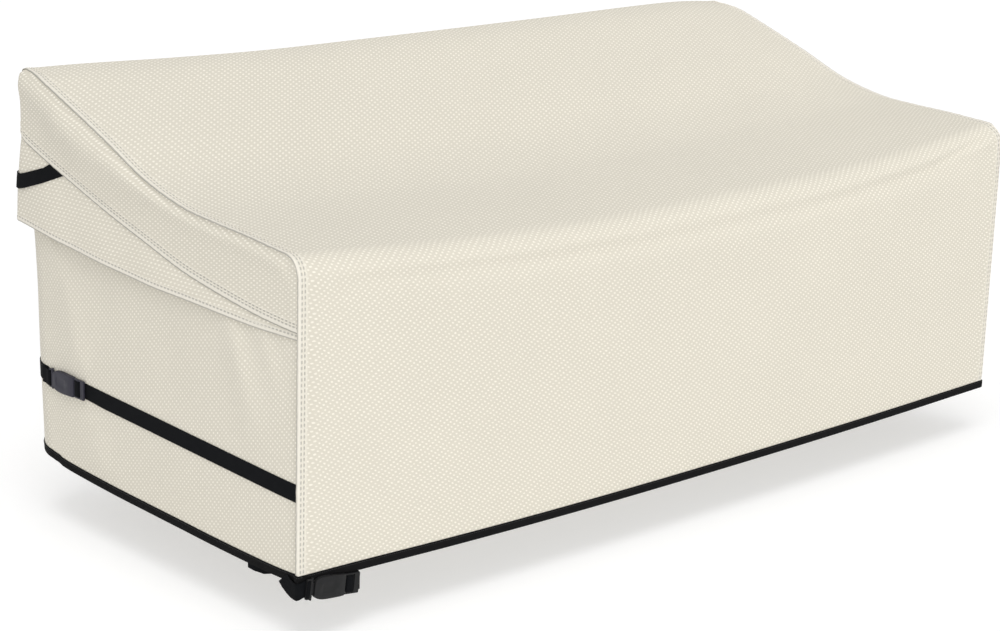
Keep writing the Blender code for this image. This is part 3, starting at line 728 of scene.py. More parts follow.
# ---- stitches --------------------------------------------------------------------------------------
STITCH_PITCH = 0.0105
MARK_SHARE = 0.25           # share of the pitch at which a stitch and the painted shade of the dent beside it are centred
RINGS = (
    # share of the stitch's length, radius and rise as shares of the thread's radius
    (0.0, 0.35, -0.8), (0.22, 0.95, 0.3), (0.5, 1.1, 0.55), (0.78, 0.95, 0.3), (1.0, 0.35, -0.8),
)


@dataclass
class StitchLine:
    """Lockstitch thread laid along lines, all of it one piece."""

    pitch: float = STITCH_PITCH
    length: float = 0.0086
    radius: float = 0.00075
    sides: int = 5
    seed: int = 11
    wander: float = 0.0003      # how far a stitch is off its place along the seam, at most
    slip: float = 0.00020       # and across it
    flatness: float = 1.15      # the thread's width over its height
    aim: float = 0.001          # distance ahead and behind that gives a stitch's direction
    verts: list = field(default_factory=list)
    faces: list = field(default_factory=list)

    def run(self, points: Array, normals: Array, path: Array, lift: float = 0.0002) -> None:
        """Adds stitches along a line, beside the dents whose painted shade its finish shows.

        Args:
            points: the line, in cover coordinates.
            normals: outward normals along it.
            path: distance along the seam of each point, as the finish reads it.
            lift: height of the thread's middle above the line.
        """
        def read(values: Array, at: float) -> Array:
            """The line's point or normal at a distance along the seam."""
            return np.array([np.interp(at, path, values[:, k]) for k in range(3)])

        rng = random.Random(self.seed + len(self.verts))
        count = np.arange(int(path[0] / self.pitch) + 1, int(path[-1] / self.pitch))
        for centre in (count + MARK_SHARE) * self.pitch:
            first = centre - self.length / 2 + rng.uniform(-self.wander, self.wander)
            slip = rng.uniform(-self.slip, self.slip)
            base = len(self.verts)
            for share, swell, rise in RINGS:
                at = first + share * self.length
                up = read(normals, at)
                up /= np.linalg.norm(up)
                across = np.cross(read(points, at + self.aim) - read(points, at - self.aim), up)
                across /= np.linalg.norm(across)
                here = read(points, at) + up * (lift + rise * self.radius) + across * slip
                for k in range(self.sides):
                    turn = 2 * math.pi * k / self.sides
                    reach = self.radius * swell
                    self.verts.append(here + across * math.cos(turn) * reach * self.flatness
                                      + up * math.sin(turn) * reach)
            last = base + (len(RINGS) - 1) * self.sides
            for ring in range(base, last, self.sides):
                for k in range(self.sides):
                    a, b = ring + k, ring + (k + 1) % self.sides
                    self.faces.append((a, b, b + self.sides, a + self.sides))
            self.faces.append(tuple(range(base + self.sides - 1, base - 1, -1)))
            self.faces.append(tuple(range(last, last + self.sides)))

    def build(self, name: str, finish: Material) -> Object:
        """Makes one piece of all the stitches.

        Args:
            name: the piece's name.
            finish: its material.

        Returns:
            The piece.
        """
        piece = new_piece(name, to_row(np.array(self.verts)), self.faces, finish)
        clean(piece.data, bmesh.ops.recalc_face_normals, "faces")
        finish_piece(piece, THREAD_SMOOTH)
        return piece


@dataclass(frozen=True)
class SeamForm:
    """Relief of a lapped edge: its rolled fold, the dents beside its stitch rows, and the pucker.

    Rows, dents and the roll are placed by their distance from the edge.
    """

    rows: tuple[float, ...] = (0.0148, 0.0215)
    dents: tuple[float, ...] = (0.0115, 0.0182)
    roll_at: float = 0.0060
    roll_height: float = 0.0012
    roll_width: float = 0.0034
    dip: float = 0.0006
    dip_width: float = 0.0016
    pucker: float = 0.0004
    pucker_length: float = 0.027
    pucker_width: float = 0.022
    pucker_drift: float = 1.3           # how far the pucker's waves run ahead and lag, in radians
    pucker_drift_rate: float = 23.0     # and how fast that changes, in radians for each metre
    roll_steps: tuple[float, ...] = (0.0, 0.0010, 0.0024, 0.0038, 0.0052, 0.0066, 0.0084)
    roll_clear: float = 0.0018          # the roll's last step stays this far before the first mark
    mark_lead: float = 0.0010           # a step this far before the first mark
    mark_trail: tuple[float, ...] = (0.0012, 0.0040, 0.0085)    # and steps this far after the last

    def heights(self, distance: Array, along: Array) -> Array:
        """Relief at each point of a panel.

        Args:
            distance: how far each point is from the edge.
            along: how far along the edge it is.

        Returns:
            The outward heights.
        """
        total = self.roll_height * np.exp(-(((distance - self.roll_at) / self.roll_width) ** 2))
        for dent in self.dents:
            total = total - self.dip * np.exp(-(((distance - dent) / self.dip_width) ** 2))
        drift = self.pucker_drift * np.sin(along * self.pucker_drift_rate)
        wave = np.sin(2 * math.pi * along / self.pucker_length + drift)
        return total + self.pucker * wave * np.exp(-((distance / self.pucker_width) ** 2))

    def edge_steps(self) -> list[float]:
        """Distances from the edge at which a panel needs its rows or columns."""
        marks = sorted(self.rows + self.dents)
        steps = [near for near in self.roll_steps if near < marks[0] - self.roll_clear]
        steps.append(marks[0] - self.mark_lead)
        for mark, following in zip(marks, marks[1:]):
            steps += [mark, (mark + following) / 2]
        return steps + [marks[-1]] + [marks[-1] + trail for trail in self.mark_trail]


SIDE_SEAM = SeamForm()
VENT_SEAM = SeamForm(rows=(0.0130, 0.0186), dents=(0.0101, 0.0158), roll_at=0.0052, roll_width=0.0030)
FREE_HEM = SeamForm(rows=(0.0112,), dents=(0.0086,), roll_at=0.0042, roll_height=0.0009, dip=0.0003)
PLAIN_EDGE = SeamForm(rows=(0.0060,), dents=(0.0050,), roll_height=0.0003, dip=0.0001, pucker=0.0003)


# ---- finishes ------------------------------------------------------------------------------------
class Nodes:
    """Adds shader nodes to a tree and links them."""

    def __init__(self, tree: NodeTree) -> None:
        """Takes the tree to work in."""
        self.tree = tree

    def add(self, kind: str, **values: object) -> Node:
        """Adds a node.

        Args:
            kind: the node's type, without its ShaderNode prefix.
            values: properties, or values and links of its inputs, by name with _ for a space.

        Returns:
            The node.
        """
        node = self.tree.nodes.new("ShaderNode" + kind)
        for name, value in values.items():
            if hasattr(node, name):
                setattr(node, name, value)
            else:
                self.put(node.inputs[name.replace("_", " ")], value)
        return node

    def put(self, socket: Socket, value: object) -> None:
        """Links an output to a socket, or sets its value."""
        if isinstance(value, Socket):
            self.tree.links.new(value, socket)
        else:
            socket.default_value = value

    def math(self, operation: str, *terms: object) -> Socket:
        """Adds a Math node.

        Args:
            operation: the node's operation.
            terms: sockets or numbers.

        Returns:
            Its result.
        """
        node = self.add("Math", operation=operation)
        for socket, term in zip(node.inputs, terms):
            self.put(socket, term)
        return node.outputs[0]

    def times(self, first: object, second: object) -> Socket:
        """Product of two sockets or numbers."""
        return self.math("MULTIPLY", first, second)

    def line(self, value: object, slope: object, start: object) -> Socket:
        """A value times a slope, plus a start."""
        return self.math("MULTIPLY_ADD", value, slope, start)

    def smooth(self, value: object, low: float, high: float) -> Socket:
        """Maps a value with soft ends.

        Args:
            value: a number or a link.
            low: the value that gives 0.
            high: the value that gives 1.

        Returns:
            The mapped value.
        """
        node = self.add("MapRange", interpolation_type="SMOOTHSTEP", Value=value)
        node.inputs["From Min"].default_value = low
        node.inputs["From Max"].default_value = high
        return node.outputs["Result"]

    def wave(self, value: object, pitch: float) -> Socket:
        """Sine of a length in metres, with the given pitch."""
        return self.math("SINE", self.times(value, 2 * math.pi / pitch))

    def bell(self, value: object, centre: object, width: float) -> Socket:
        """A soft peak at a centre, of a half width in metres."""
        off = self.math("DIVIDE", self.math("SUBTRACT", value, centre), width)
        return self.math("EXPONENT", self.times(self.times(off, off), -1.0))

    def blend(self, factor: object, first: object, second: object) -> Socket:
        """Mixes two colours.

        Args:
            factor: share of the second colour.
            first: the colour at 0.
            second: the colour at 1.

        Returns:
            The mixed colour.
        """
        node = self.add("Mix", data_type="RGBA")
        self.put(node.inputs[0], factor)
        self.put(node.inputs[6], first)
        self.put(node.inputs[7], second)
        return node.outputs[2]

    def shade(self, colour: object, value: object) -> Socket:
        """Makes a colour lighter or darker.

        Args:
            colour: the colour.
            value: the factor.

        Returns:
            The scaled colour.
        """
        node = self.add("VectorMath", operation="SCALE")
        self.put(node.inputs[0], colour)
        self.put(node.inputs["Scale"], value)
        return node.outputs[0]

    def noise(self, vector: object, scale: float, detail: float = 2.0) -> Socket:
        """Noise of about 0 to 1 on a vector."""
        return self.add("TexNoise", Vector=vector, Scale=scale, Detail=detail).outputs[0]

    def dress(self, shader: Node, colour: object, rough: object, height: object,
              strength: float, gloss: float) -> None:
        """Gives a shader its colour, gloss and relief.

        Args:
            shader: the material's Principled BSDF.
            colour: its colour.
            rough: its roughness.
            height: the surface's relief, in metres.
            strength: how much of the relief shows.
            gloss: the specular level.
        """
        self.put(shader.inputs["Base Color"], colour)
        self.put(shader.inputs["Roughness"], rough)
        bump = self.add("Bump", Height=height, Strength=strength, Distance=1.0)
        self.put(shader.inputs["Normal"], bump.outputs[0])
        self.put(shader.inputs["Specular IOR Level"], gloss)


def start_group(name: str, inputs: Sequence[tuple[str, str]], outputs: Sequence[tuple[str, str]]
                ) -> tuple[Nodes, Node, Node]:
    """A new shader node group.

    Args:
        name: the group's name.
        inputs: (name, kind) of its inputs, a kind being Float, Vector or Color.
        outputs: the same of its outputs.

    Returns:
        (its nodes, its input node, its output node).
    """
    tree = bpy.data.node_groups.new(name, "ShaderNodeTree")
    for way, sockets in (("INPUT", inputs), ("OUTPUT", outputs)):
        for label, kind in sockets:
            tree.interface.new_socket(label, in_out=way, socket_type="NodeSocket" + kind)
    return Nodes(tree), tree.nodes.new("NodeGroupInput"), tree.nodes.new("NodeGroupOutput")


DOT_PITCHES = (0.0120, 0.0100)      # of the lattice of light dots, one way and the other
DOT_RAMP = (0.12, 0.98)             # where on its waves a dot begins and is full
THREAD_PITCH = 0.0016
WEAVE_WANDER = 0.006                # how far the threads wander from straight
MARK_WIDTH = 0.0017                 # half width of the painted shade of the dents that the finish shows
MARK_RAMP = (-0.6, 0.2)             # where on the stitches' wave a dent's painted shade begins and is full
MARK_JOIN = 0.2                     # strength of the painted shade between two dents
EDGE_RAMP = (0.0010, 0.0034)        # where the painted shadow along a cloth's edge begins to fade and ends
BAND_RAMP = (0.8, 1.15)             # the same for the smooth band, in shares of its width


def canvas_weave_group() -> NodeTree:
    """Basket weave of the canvas: light dots in a staggered lattice, threads, and slow mottling."""
    nodes, given, result = start_group("canvas_weave", (("Vector", "Vector"),), (
        ("Dots", "Float"), ("Threads", "Float"), ("Mottle", "Float")))
    vector = given.outputs["Vector"]
    slub = nodes.noise(vector, 110.0)
    grit = nodes.noise(vector, 270.0, 1.0)
    wander = nodes.noise(vector, 9.0)
    parts = nodes.add("SeparateXYZ", Vector=vector)
    shift = nodes.times(nodes.math("SUBTRACT", wander, 0.5), WEAVE_WANDER)
    u = nodes.math("ADD", parts.outputs["X"], shift)
    v = nodes.math("SUBTRACT", parts.outputs["Y"], shift)
    lattice = nodes.times(nodes.wave(u, DOT_PITCHES[0]), nodes.wave(v, DOT_PITCHES[1]))
    uneven = nodes.line(slub, 0.5, nodes.times(grit, 0.9))
    value = nodes.math("ADD", lattice, nodes.math("SUBTRACT", uneven, 0.7))
    nodes.put(result.inputs["Dots"], nodes.smooth(value, *DOT_RAMP))
    fine = nodes.times(nodes.wave(u, THREAD_PITCH), nodes.wave(v, THREAD_PITCH))
    nodes.put(result.inputs["Threads"], nodes.line(fine, 0.5, 0.5))
    broad = nodes.noise(vector, 7.0, 3.0)
    close = nodes.noise(vector, 45.0, 2.0)
    slow = nodes.line(broad, 0.4, nodes.times(close, 0.25))
    nodes.put(result.inputs["Mottle"], nodes.line(grit, 0.7, slow))
    return nodes.tree


def seam_marks_group() -> NodeTree:
    """Marks along a stitched edge: its smooth band, the painted shade of the dents beside the stitches,
    and a painted shadow along its edge.
    """
    nodes, given, result = start_group("seam_marks", (
        ("Vector", "Vector"), ("Band", "Float"), ("Dent One", "Float"), ("Dent Two", "Float")), (
        ("Band", "Float"), ("Dents", "Float"), ("Edge", "Float")))
    parts = nodes.add("SeparateXYZ", Vector=given.outputs["Vector"])
    away, along = parts.outputs["X"], parts.outputs["Y"]
    reach = nodes.math("DIVIDE", away, given.outputs["Band"])
    nodes.put(result.inputs["Band"], nodes.math("SUBTRACT", 1.0, nodes.smooth(reach, *BAND_RAMP)))
    # painted shade in the dents beside the stitch rows, in dashes along the stitches
    rows = nodes.math("MAXIMUM", nodes.bell(away, given.outputs["Dent One"], MARK_WIDTH),
                      nodes.bell(away, given.outputs["Dent Two"], MARK_WIDTH))
    dashes = nodes.smooth(nodes.wave(along, STITCH_PITCH), *MARK_RAMP)
    dashes = nodes.line(dashes, 1 - MARK_JOIN, MARK_JOIN)
    nodes.put(result.inputs["Dents"], nodes.times(rows, dashes))
    # painted shadow along the cloth's edge, where the lapped or hanging edge would cast its shade
    nodes.put(result.inputs["Edge"], nodes.math("SUBTRACT", 1.0, nodes.smooth(away, *EDGE_RAMP)))
    return nodes.tree


def grain_group() -> NodeTree:
    """Fine and coarse grain on an object's own coordinates."""
    nodes, given, result = start_group(
        "grain", (("Scale", "Float"),), (("Fine", "Float"), ("Coarse", "Float")))
    place = nodes.add("TexCoord").outputs["Object"]
    scaled = nodes.shade(place, given.outputs["Scale"])
    nodes.put(result.inputs["Fine"], nodes.noise(scaled, 9.0, 3.0))
    nodes.put(result.inputs["Coarse"], nodes.noise(scaled, 1.0, 2.0))
    return nodes.tree


def start_material(name: str) -> tuple[Material, Nodes, Node]:
    """Starts a new material.

    Args:
        name: its name.

    Returns:
        (material, its nodes, its Principled BSDF).
    """
    material = bpy.data.materials.new(name)
    material.use_nodes = True
    return material, Nodes(material.node_tree), material.node_tree.nodes["Principled BSDF"]


DOT_SHARE = 0.18            # share of the weave that its light dots fill


@dataclass(frozen=True)
class CanvasFinish:
    """Coated canvas in pale sand, with the marks of one kind of stitched edge: painted shade in the dents
    beside its stitches and a painted shadow along its edge.
    """

    name: str
    dents: tuple[float, ...]
    band: float
    # how much the painted shadow along the cloth's edge darkens it
    painted_edge_shadow: float = -0.46
    contrast: float = 0.205
    middle: Four = (0.717, 0.677, 0.580, 1.0)
    smooth_band: Four = (0.790, 0.752, 0.664, 1.0)
    mottle: float = 0.10
    mottle_mean: float = 0.68           # the mottling's mean, so that it leaves the colour's level
    # how much the painted shade in the dents darkens the cloth
    painted_dent_shade: float = -0.46
    roughness: float = 0.88
    dot_gloss: float = 0.08             # how much smoother the light dots are
    dot_relief: float = 0.00016
    thread_relief: float = 0.00008
    sheen: float = 0.12
    sheen_roughness: float = 0.55

    def make(self, groups: dict[str, NodeTree]) -> Material:
        """Builds the material.

        Args:
            groups: the shared node groups, by name.

        Returns:
            The material.
        """
        material, nodes, shader = start_material(self.name)
        weave = nodes.add("Group", node_tree=groups["canvas_weave"])
        nodes.put(weave.inputs["Vector"], nodes.add("UVMap", uv_map="weave").outputs[0])
        marks = nodes.add("Group", node_tree=groups["seam_marks"])
        nodes.put(marks.inputs["Vector"], nodes.add("UVMap", uv_map="seam").outputs[0])
        marks.inputs["Band"].default_value = self.band
        marks.inputs["Dent One"].default_value = self.dents[0]
        marks.inputs["Dent Two"].default_value = self.dents[-1]
        band, dents, edge = (marks.outputs[name] for name in ("Band", "Dents", "Edge"))
        ground, dot = (tuple(part + share * self.contrast for part in self.middle[:3]) + (1.0,)
                       for share in (-DOT_SHARE, 1 - DOT_SHARE))
        colour = nodes.blend(weave.outputs["Dots"], ground, dot)
        colour = nodes.blend(band, colour, self.smooth_band)
        low = 1.0 - self.mottle * self.mottle_mean
        colour = nodes.shade(colour, nodes.line(weave.outputs["Mottle"], self.mottle, low))
        # painted shade in the dents beside the stitches
        colour = nodes.shade(colour, nodes.line(dents, self.painted_dent_shade, 1.0))
        # painted shadow along the cloth's edge
        colour = nodes.shade(colour, nodes.line(edge, self.painted_edge_shadow, 1.0))
        rough = nodes.line(weave.outputs["Dots"], -self.dot_gloss, self.roughness)
        bare = nodes.math("SUBTRACT", 1.0, band)
        height = nodes.math("ADD", nodes.times(weave.outputs["Dots"], self.dot_relief),
                            nodes.times(weave.outputs["Threads"], self.thread_relief))
        nodes.dress(shader, colour, rough, nodes.times(height, bare), 0.6, 0.25)
        shader.inputs["Sheen Weight"].default_value = self.sheen
        shader.inputs["Sheen Roughness"].default_value = self.sheen_roughness
        return material


@dataclass(frozen=True)
class RibbonFinish:
    """Woven tape or webbing, ribbed along its length or across it, with a painted sheen on its ribs."""

    name: str
    base: Four
    light: Four
    rib: float
    weft: float
    lengthwise: bool
    depth: float = 0.00025
    roughness: float = 0.80
    rib_gloss: float = 0.15             # how much smoother the ribs are
    grain_scale: float = 60.0

    def make(self, groups: dict[str, NodeTree]) -> Material:
        """Builds the material.

        Args:
            groups: the shared node groups, by name.

        Returns:
            The material.
        """
        material, nodes, shader = start_material(self.name)
        parts = nodes.add("SeparateXYZ", Vector=nodes.add("UVMap", uv_map="weave").outputs[0])
        along, across = parts.outputs["X"], parts.outputs["Y"]
        if not self.lengthwise:
            along, across = across, along
        ribs = nodes.line(nodes.wave(across, self.rib), 0.5, 0.5)
        slant = nodes.times(nodes.wave(across, self.rib * 2), self.weft / 4)
        weft = nodes.wave(nodes.math("ADD", along, slant), self.weft)
        weft = nodes.line(weft, 0.5, 0.5)
        cloth = nodes.line(ribs, 0.6, nodes.times(weft, 0.4))
        grain = nodes.add("Group", node_tree=groups["grain"], Scale=self.grain_scale)
        # painted sheen: the raised ribs are made lighter in colour, mixed with random grain
        shine = nodes.line(grain.outputs["Coarse"], 0.5, nodes.times(cloth, 0.5))
        nodes.dress(shader, nodes.blend(shine, self.base, self.light),
                    nodes.line(cloth, -self.rib_gloss, self.roughness),
                    nodes.times(cloth, self.depth), 0.8, 0.06)
        return material


@dataclass(frozen=True)
class GrainFinish:
    """A plain finish with grain in its colour, gloss and surface, for thread and moulded plastic."""

    name: str
    base: Four
    light: Four
    scale: float
    roughness: float
    relief: float
    gloss: float = 0.3

    def make(self, groups: dict[str, NodeTree]) -> Material:
        """Builds the material.

        Args:
            groups: the shared node groups, by name.

        Returns:
            The material.
        """
        material, nodes, shader = start_material(self.name)
        grain = nodes.add("Group", node_tree=groups["grain"], Scale=self.scale)
        fine, coarse = grain.outputs["Fine"], grain.outputs["Coarse"]
        nodes.dress(shader, nodes.blend(coarse, self.base, self.light),
                    nodes.line(fine, 0.2, self.roughness - 0.1),
                    nodes.times(fine, self.relief), 0.7, self.gloss)
        return material


# the webbing's black, and the lighter black of the painted sheen on its ribs mixed with its grain
BLACK = (0.0026, 0.0030, 0.0038, 1.0)
BLACK_RIB_SHEEN = (0.0075, 0.0082, 0.0095, 1.0)


class Finishes:
    """All the materials, made once."""

    def __init__(self) -> None:
        """Builds the groups and every material."""
        groups = {"canvas_weave": canvas_weave_group(), "seam_marks": seam_marks_group(),
                  "grain": grain_group()}
        # The gore's and the flap's number after the band width is the painted shadow along the edge; the
        # centre panel keeps the default one and the lower panels get none.
        self.panel = CanvasFinish("sand_canvas_lapped", SIDE_SEAM.dents, 0.0240).make(groups)
        self.gore = CanvasFinish("sand_canvas_gore", VENT_SEAM.dents, 0.0205, -0.55, 0.225).make(groups)
        self.flap = CanvasFinish("sand_canvas_hemmed", FREE_HEM.dents, 0.0125, -0.46, 0.22).make(groups)
        self.lower = CanvasFinish("sand_canvas_plain", PLAIN_EDGE.dents, 0.0010, 0.0, 0.20).make(groups)
        # each ribbon's second colour is the painted sheen on its ribs, mixed with random grain
        self.binding = RibbonFinish("black_binding_tape", (0.0040, 0.0040, 0.0042, 1.0),
                                    (0.0110, 0.0108, 0.0112, 1.0), 0.0013, 0.0020, False).make(groups)
        self.webbing = RibbonFinish("black_webbing", BLACK, BLACK_RIB_SHEEN, 0.0022, 0.0016, True).make(groups)
        self.sand_thread = GrainFinish("sand_thread", (0.80, 0.76, 0.66, 1.0), (0.88, 0.85, 0.76, 1.0),
                                       400.0, 0.65, 0.00005).make(groups)
        self.black_thread = GrainFinish("black_thread", (0.020, 0.020, 0.021, 1.0),
                                        (0.040, 0.040, 0.042, 1.0), 400.0, 0.6, 0.00005).make(groups)
        self.grey_plastic = GrainFinish("grey_moulding", (0.022, 0.021, 0.032, 1.0),
                                        (0.031, 0.030, 0.044, 1.0), 90.0, 0.45, 0.00004).make(groups)
        self.dark_plastic = GrainFinish(
            "dark_moulding", (0.0068, 0.0070, 0.0076, 1.0), (0.0120, 0.0122, 0.0130, 1.0),
            90.0, 0.48, 0.00004, 0.25).make(groups)


# ---- cloth pieces ---------------------------------------------------------------------------------
CORNER_EASE = 0.011             # how far the rear top corners are rounded off
CORNER_EASE_START = 0.79        # y where that begins
CORNER_BULGE = 0.0055           # how far the side's cloth swells below the eased corner
BULGE_BELOW, BULGE_WIDTH = 0.030, 0.020
STITCH_CLEAR = 0.002            # the front seams' stitches begin this far above the binding
ROW_ENDS = 6                    # points left bare at each end of the stitches across the back


@dataclass
class Seams:
    """Stitch lines that go into one piece each, gathered while the cloth is made."""

    sand: StitchLine = field(default_factory=StitchLine)
    free: StitchLine = field(default_factory=lambda: StitchLine(radius=0.00045, seed=23))
    black: StitchLine = field(default_factory=lambda: StitchLine(0.0046, 0.0032, 0.00042, seed=37))


def ease_ahead(y: float) -> float:
    """Share of a rear top corner's ease that the cloth takes ahead of the ridge."""
    return soft_step((y - CORNER_EASE_START) / (RIDGE_Y - CORNER_EASE_START))


def ease_round(angle: float) -> float:
    """Share of that ease at an angle in degrees round the corner."""
    return 1 - angle / 90.0


def eased(below: float) -> float:
    """Inward ease of a side piece at a depth below the panel's edge, a quarter round."""
    left = max(0.0, CORNER_EASE - below)
    return CORNER_EASE - math.sqrt(CORNER_EASE**2 - left**2)


def fade(values: Array, low: float, high: float) -> Array:
    """A smooth rise from 0 at low to 1 at high over an array."""
    share = np.clip((values - low) / (high - low), 0.0, 1.0)
    return share * share * (3 - 2 * share)


@dataclass
class CentrePanel:
    """The wide panel from the front hem over the seat and the ridge to the seam across the back."""

    column_step: float = 0.0125
    weave_across: Pair = (0.80, 0.05)
    weave_front: Pair = (0.24, 1.01)
    weave_seat: Pair = (-0.56, 0.60)     # drawn out and skewed where the cloth hangs
    binding_clear: Pair = (0.019, 0.034)
    ease_from: float = 0.93         # share of the half width from which the rear corners are eased
    back_rows: int = 5              # rows on the back above its stitched edge, and what they leave free
    back_gap: float = 0.12
    side_ramp: Pair = (0.0, 0.03)   # distances from a side over which the front's creases fade in
    seat_ramp: Pair = (0.004, 0.045)    # and those of the seat
    wrap_radius: float = 0.003      # the front edges are turned round the corner on to the sides
    wrap_reach: float = 0.008
    front_creases: tuple[Crease, ...] = (
        Crease(1, ((-0.874, 0.541, -0.0014, 0.0090), (-0.630, 0.525, -0.0028, 0.0100),
                   (-0.402, 0.510, -0.0026, 0.0105), (-0.031, 0.500, -0.0014, 0.0130),
                   (0.300, 0.504, -0.0014, 0.0130), (0.526, 0.519, -0.0030, 0.0115),
                   (0.753, 0.540, -0.0055, 0.0105), (0.928, 0.580, -0.0066, 0.0095),
                   (0.985, 0.600, -0.0030, 0.0075))),
        Crease(1, ((0.905, 0.455, -0.0005, 0.0100), (0.930, 0.495, -0.0024, 0.0110),
                   (0.974, 0.564, -0.0020, 0.0090))),
        Crease(1, ((-0.480, 0.470, -0.0020, 0.0500), (-0.438, 0.374, -0.0045, 0.0550),
                   (-0.400, 0.180, -0.0020, 0.0700))),
        Crease(1, ((0.500, 0.430, 0.0030, 0.0900), (0.300, 0.250, 0.0030, 0.1200),
                   (0.200, 0.080, 0.0010, 0.1200))),
    )
    top_creases: tuple[Crease, ...] = (
        Crease(2, ((-0.300, 0.260, -0.0030, 0.0900), (-0.060, 0.450, -0.0075, 0.1100),
                   (0.060, 0.640, -0.0030, 0.1000))),
        Crease(2, ((-0.880, 0.300, 0.0020, 0.0800), (-0.620, 0.520, 0.0030, 0.1000),
                   (-0.400, 0.800, 0.0010, 0.0800))),
        Crease(2, ((0.450, 0.250, 0.0030, 0.1000), (0.700, 0.550, 0.0035, 0.1200),
                   (0.850, 0.760, 0.0010, 0.0800))),
    )

    def columns(self) -> list[float]:
        """Distances across the panel, fine along its stitched edges."""
        steps = SIDE_SEAM.edge_steps()
        left = [-HALF_WIDTH + step for step in steps]
        reach = HALF_WIDTH - steps[-1] - self.column_step / 2
        count = int(2 * reach / self.column_step) + 1
        return left + spread(-reach, reach, count) + [-x for x in reversed(left)]

    def rows(self) -> list[PanelRow]:
        """The panel's rows, fine along the seam across the back."""
        rows = [row for row in panel_rows() if row.stretch is not Stretch.BACK]
        length = RIDGE_HEIGHT - CORNER_RADIUS - BACK_SEAM_HEIGHT
        steps = [1 - step / length for step in reversed(VENT_SEAM.edge_steps())]
        plain = spread(0.0, steps[0] - self.back_gap, self.back_rows)
        return rows + [PanelRow(Stretch.BACK, share) for share in plain + steps]

    def wrapped(self, x: float, wrap: float) -> Pair:
        """Place of a column that is turned round a front corner.

        Args:
            x: the column's place across the flat panel.
            wrap: how far it is turned, from 0 to 1.

        Returns:
            (x, how far inward it is turned).
        """
        gap, radius = HALF_WIDTH - abs(x), self.wrap_radius
        if gap > SIDE_SEAM.edge_steps()[-1] + 1e-6 or wrap == 0.0:
            return x, 0.0
        bend = radius * math.pi / 2
        reach = bend + self.wrap_reach - radius - gap
        if reach <= 0.0:
            near, deep = HALF_WIDTH - radius + reach, 0.0
        elif reach <= bend:
            near = HALF_WIDTH - radius + radius * math.sin(reach / radius)
            deep = radius * (1 - math.cos(reach / radius))
        else:
            near, deep = HALF_WIDTH, radius + reach - bend
        return math.copysign(abs(x) + (near - abs(x)) * wrap, x), deep * wrap

    def place(self, x: float, row: PanelRow) -> Triple:
        """Point of the panel, turned round the front and eased at the rear.

        Args:
            x: the column.
            row: the row.

        Returns:
            The point, in cover coordinates.
        """
        turn = math.radians(row.place) if row.stretch is Stretch.FOLD else 0.0
        wrap = {Stretch.FACE: 1.0, Stretch.FOLD: 1 - soft_step(row.place / 90.0)}.get(row.stretch, 0.0)
        near, deep = self.wrapped(x, wrap)
        share, y, z = panel_point(row, x / HALF_WIDTH)
        ease, outward = 0.0, (1.0, 0.0)
        if row.stretch is Stretch.TOP:
            ease = ease_ahead(y)
        elif row.stretch is Stretch.RIDGE:
            turned = math.radians(90.0 - row.place)
            ease, outward = ease_round(90.0 - row.place), (math.cos(turned), math.sin(turned))
        ease *= CORNER_EASE * max(0.0, (abs(x) / HALF_WIDTH - self.ease_from) / (1 - self.ease_from))
        across = near * share - math.copysign(ease * outward[0], x)
        return across, y + deep * math.cos(turn) - ease * outward[1], z - deep * math.sin(turn)

    def cloth(self) -> Cloth:
        """The panel's grid with its folds, seams and creases."""
        columns, rows = self.columns(), self.rows()
        grid = [[self.place(x, row) for row in rows] for x in columns]
        cloth = Cloth(grid)
        wide, high = cloth.points.shape[:2]
        across, along = cloth.lengths[..., 0], cloth.lengths[..., 1]
        side_gap = np.broadcast_to(HALF_WIDTH - np.abs(np.array(columns))[:, None], (wide, high))
        end_gap = along[:, -1:] - along
        over_seat = np.array([row.stretch is Stretch.TOP for row in rows])
        in_front = np.array([row.stretch in (Stretch.FACE, Stretch.FOLD) for row in rows])
        cloth.lay_weave(self.weave_across, tuple(
            np.where(over_seat, seat, front) for seat, front in zip(self.weave_seat, self.weave_front)))
        cloth.hem_along(side_gap, along)
        cloth.hem_along(end_gap, across)
        clear = fade(along, *self.binding_clear)
        relief = SIDE_SEAM.heights(side_gap, along) + VENT_SEAM.heights(end_gap, across)
        front = in_front[None, :] * clear
        inner = fade(side_gap, *self.seat_ramp)
        top_share = np.array([math.sin(math.pi * row.place) if seat else 0.0
                              for row, seat in zip(rows, over_seat)])
        cloth.crease(self.front_creases, front * fade(side_gap, *self.side_ramp))
        cloth.crease(self.top_creases, top_share[None, :] * inner)
        cloth.raise_by(relief * clear)
        return cloth

    def make(self, finishes: Finishes, seams: Seams) -> Object:
        """Builds the panel and lays its stitch rows.

        Args:
            finishes: the materials.
            seams: where its stitches go.

        Returns:
            The panel.
        """
        cloth = self.cloth()
        across, along = cloth.lengths[..., 0], cloth.lengths[..., 1]
        steps = SIDE_SEAM.edge_steps()
        last = cloth.points.shape[0] - 1
        for distance in SIDE_SEAM.rows:
            index = steps.index(distance)
            for column in (index, last - index):
                points, normals = cloth.line(column=column)
                keep = along[column] > BINDING_HEIGHT + STITCH_CLEAR
                seams.sand.run(points[keep], normals[keep], along[column][keep])
        steps = VENT_SEAM.edge_steps()
        for distance in VENT_SEAM.rows:
            row = cloth.points.shape[1] - 1 - steps.index(distance)
            points, normals = cloth.line(row=row)
            inner = slice(ROW_ENDS, -ROW_ENDS)
            seams.sand.run(points[inner], normals[inner], across[inner, row])
        return enter_piece(cloth.build("centre_cloth", finishes.panel), Slot.FABRIC, "centre_panel")


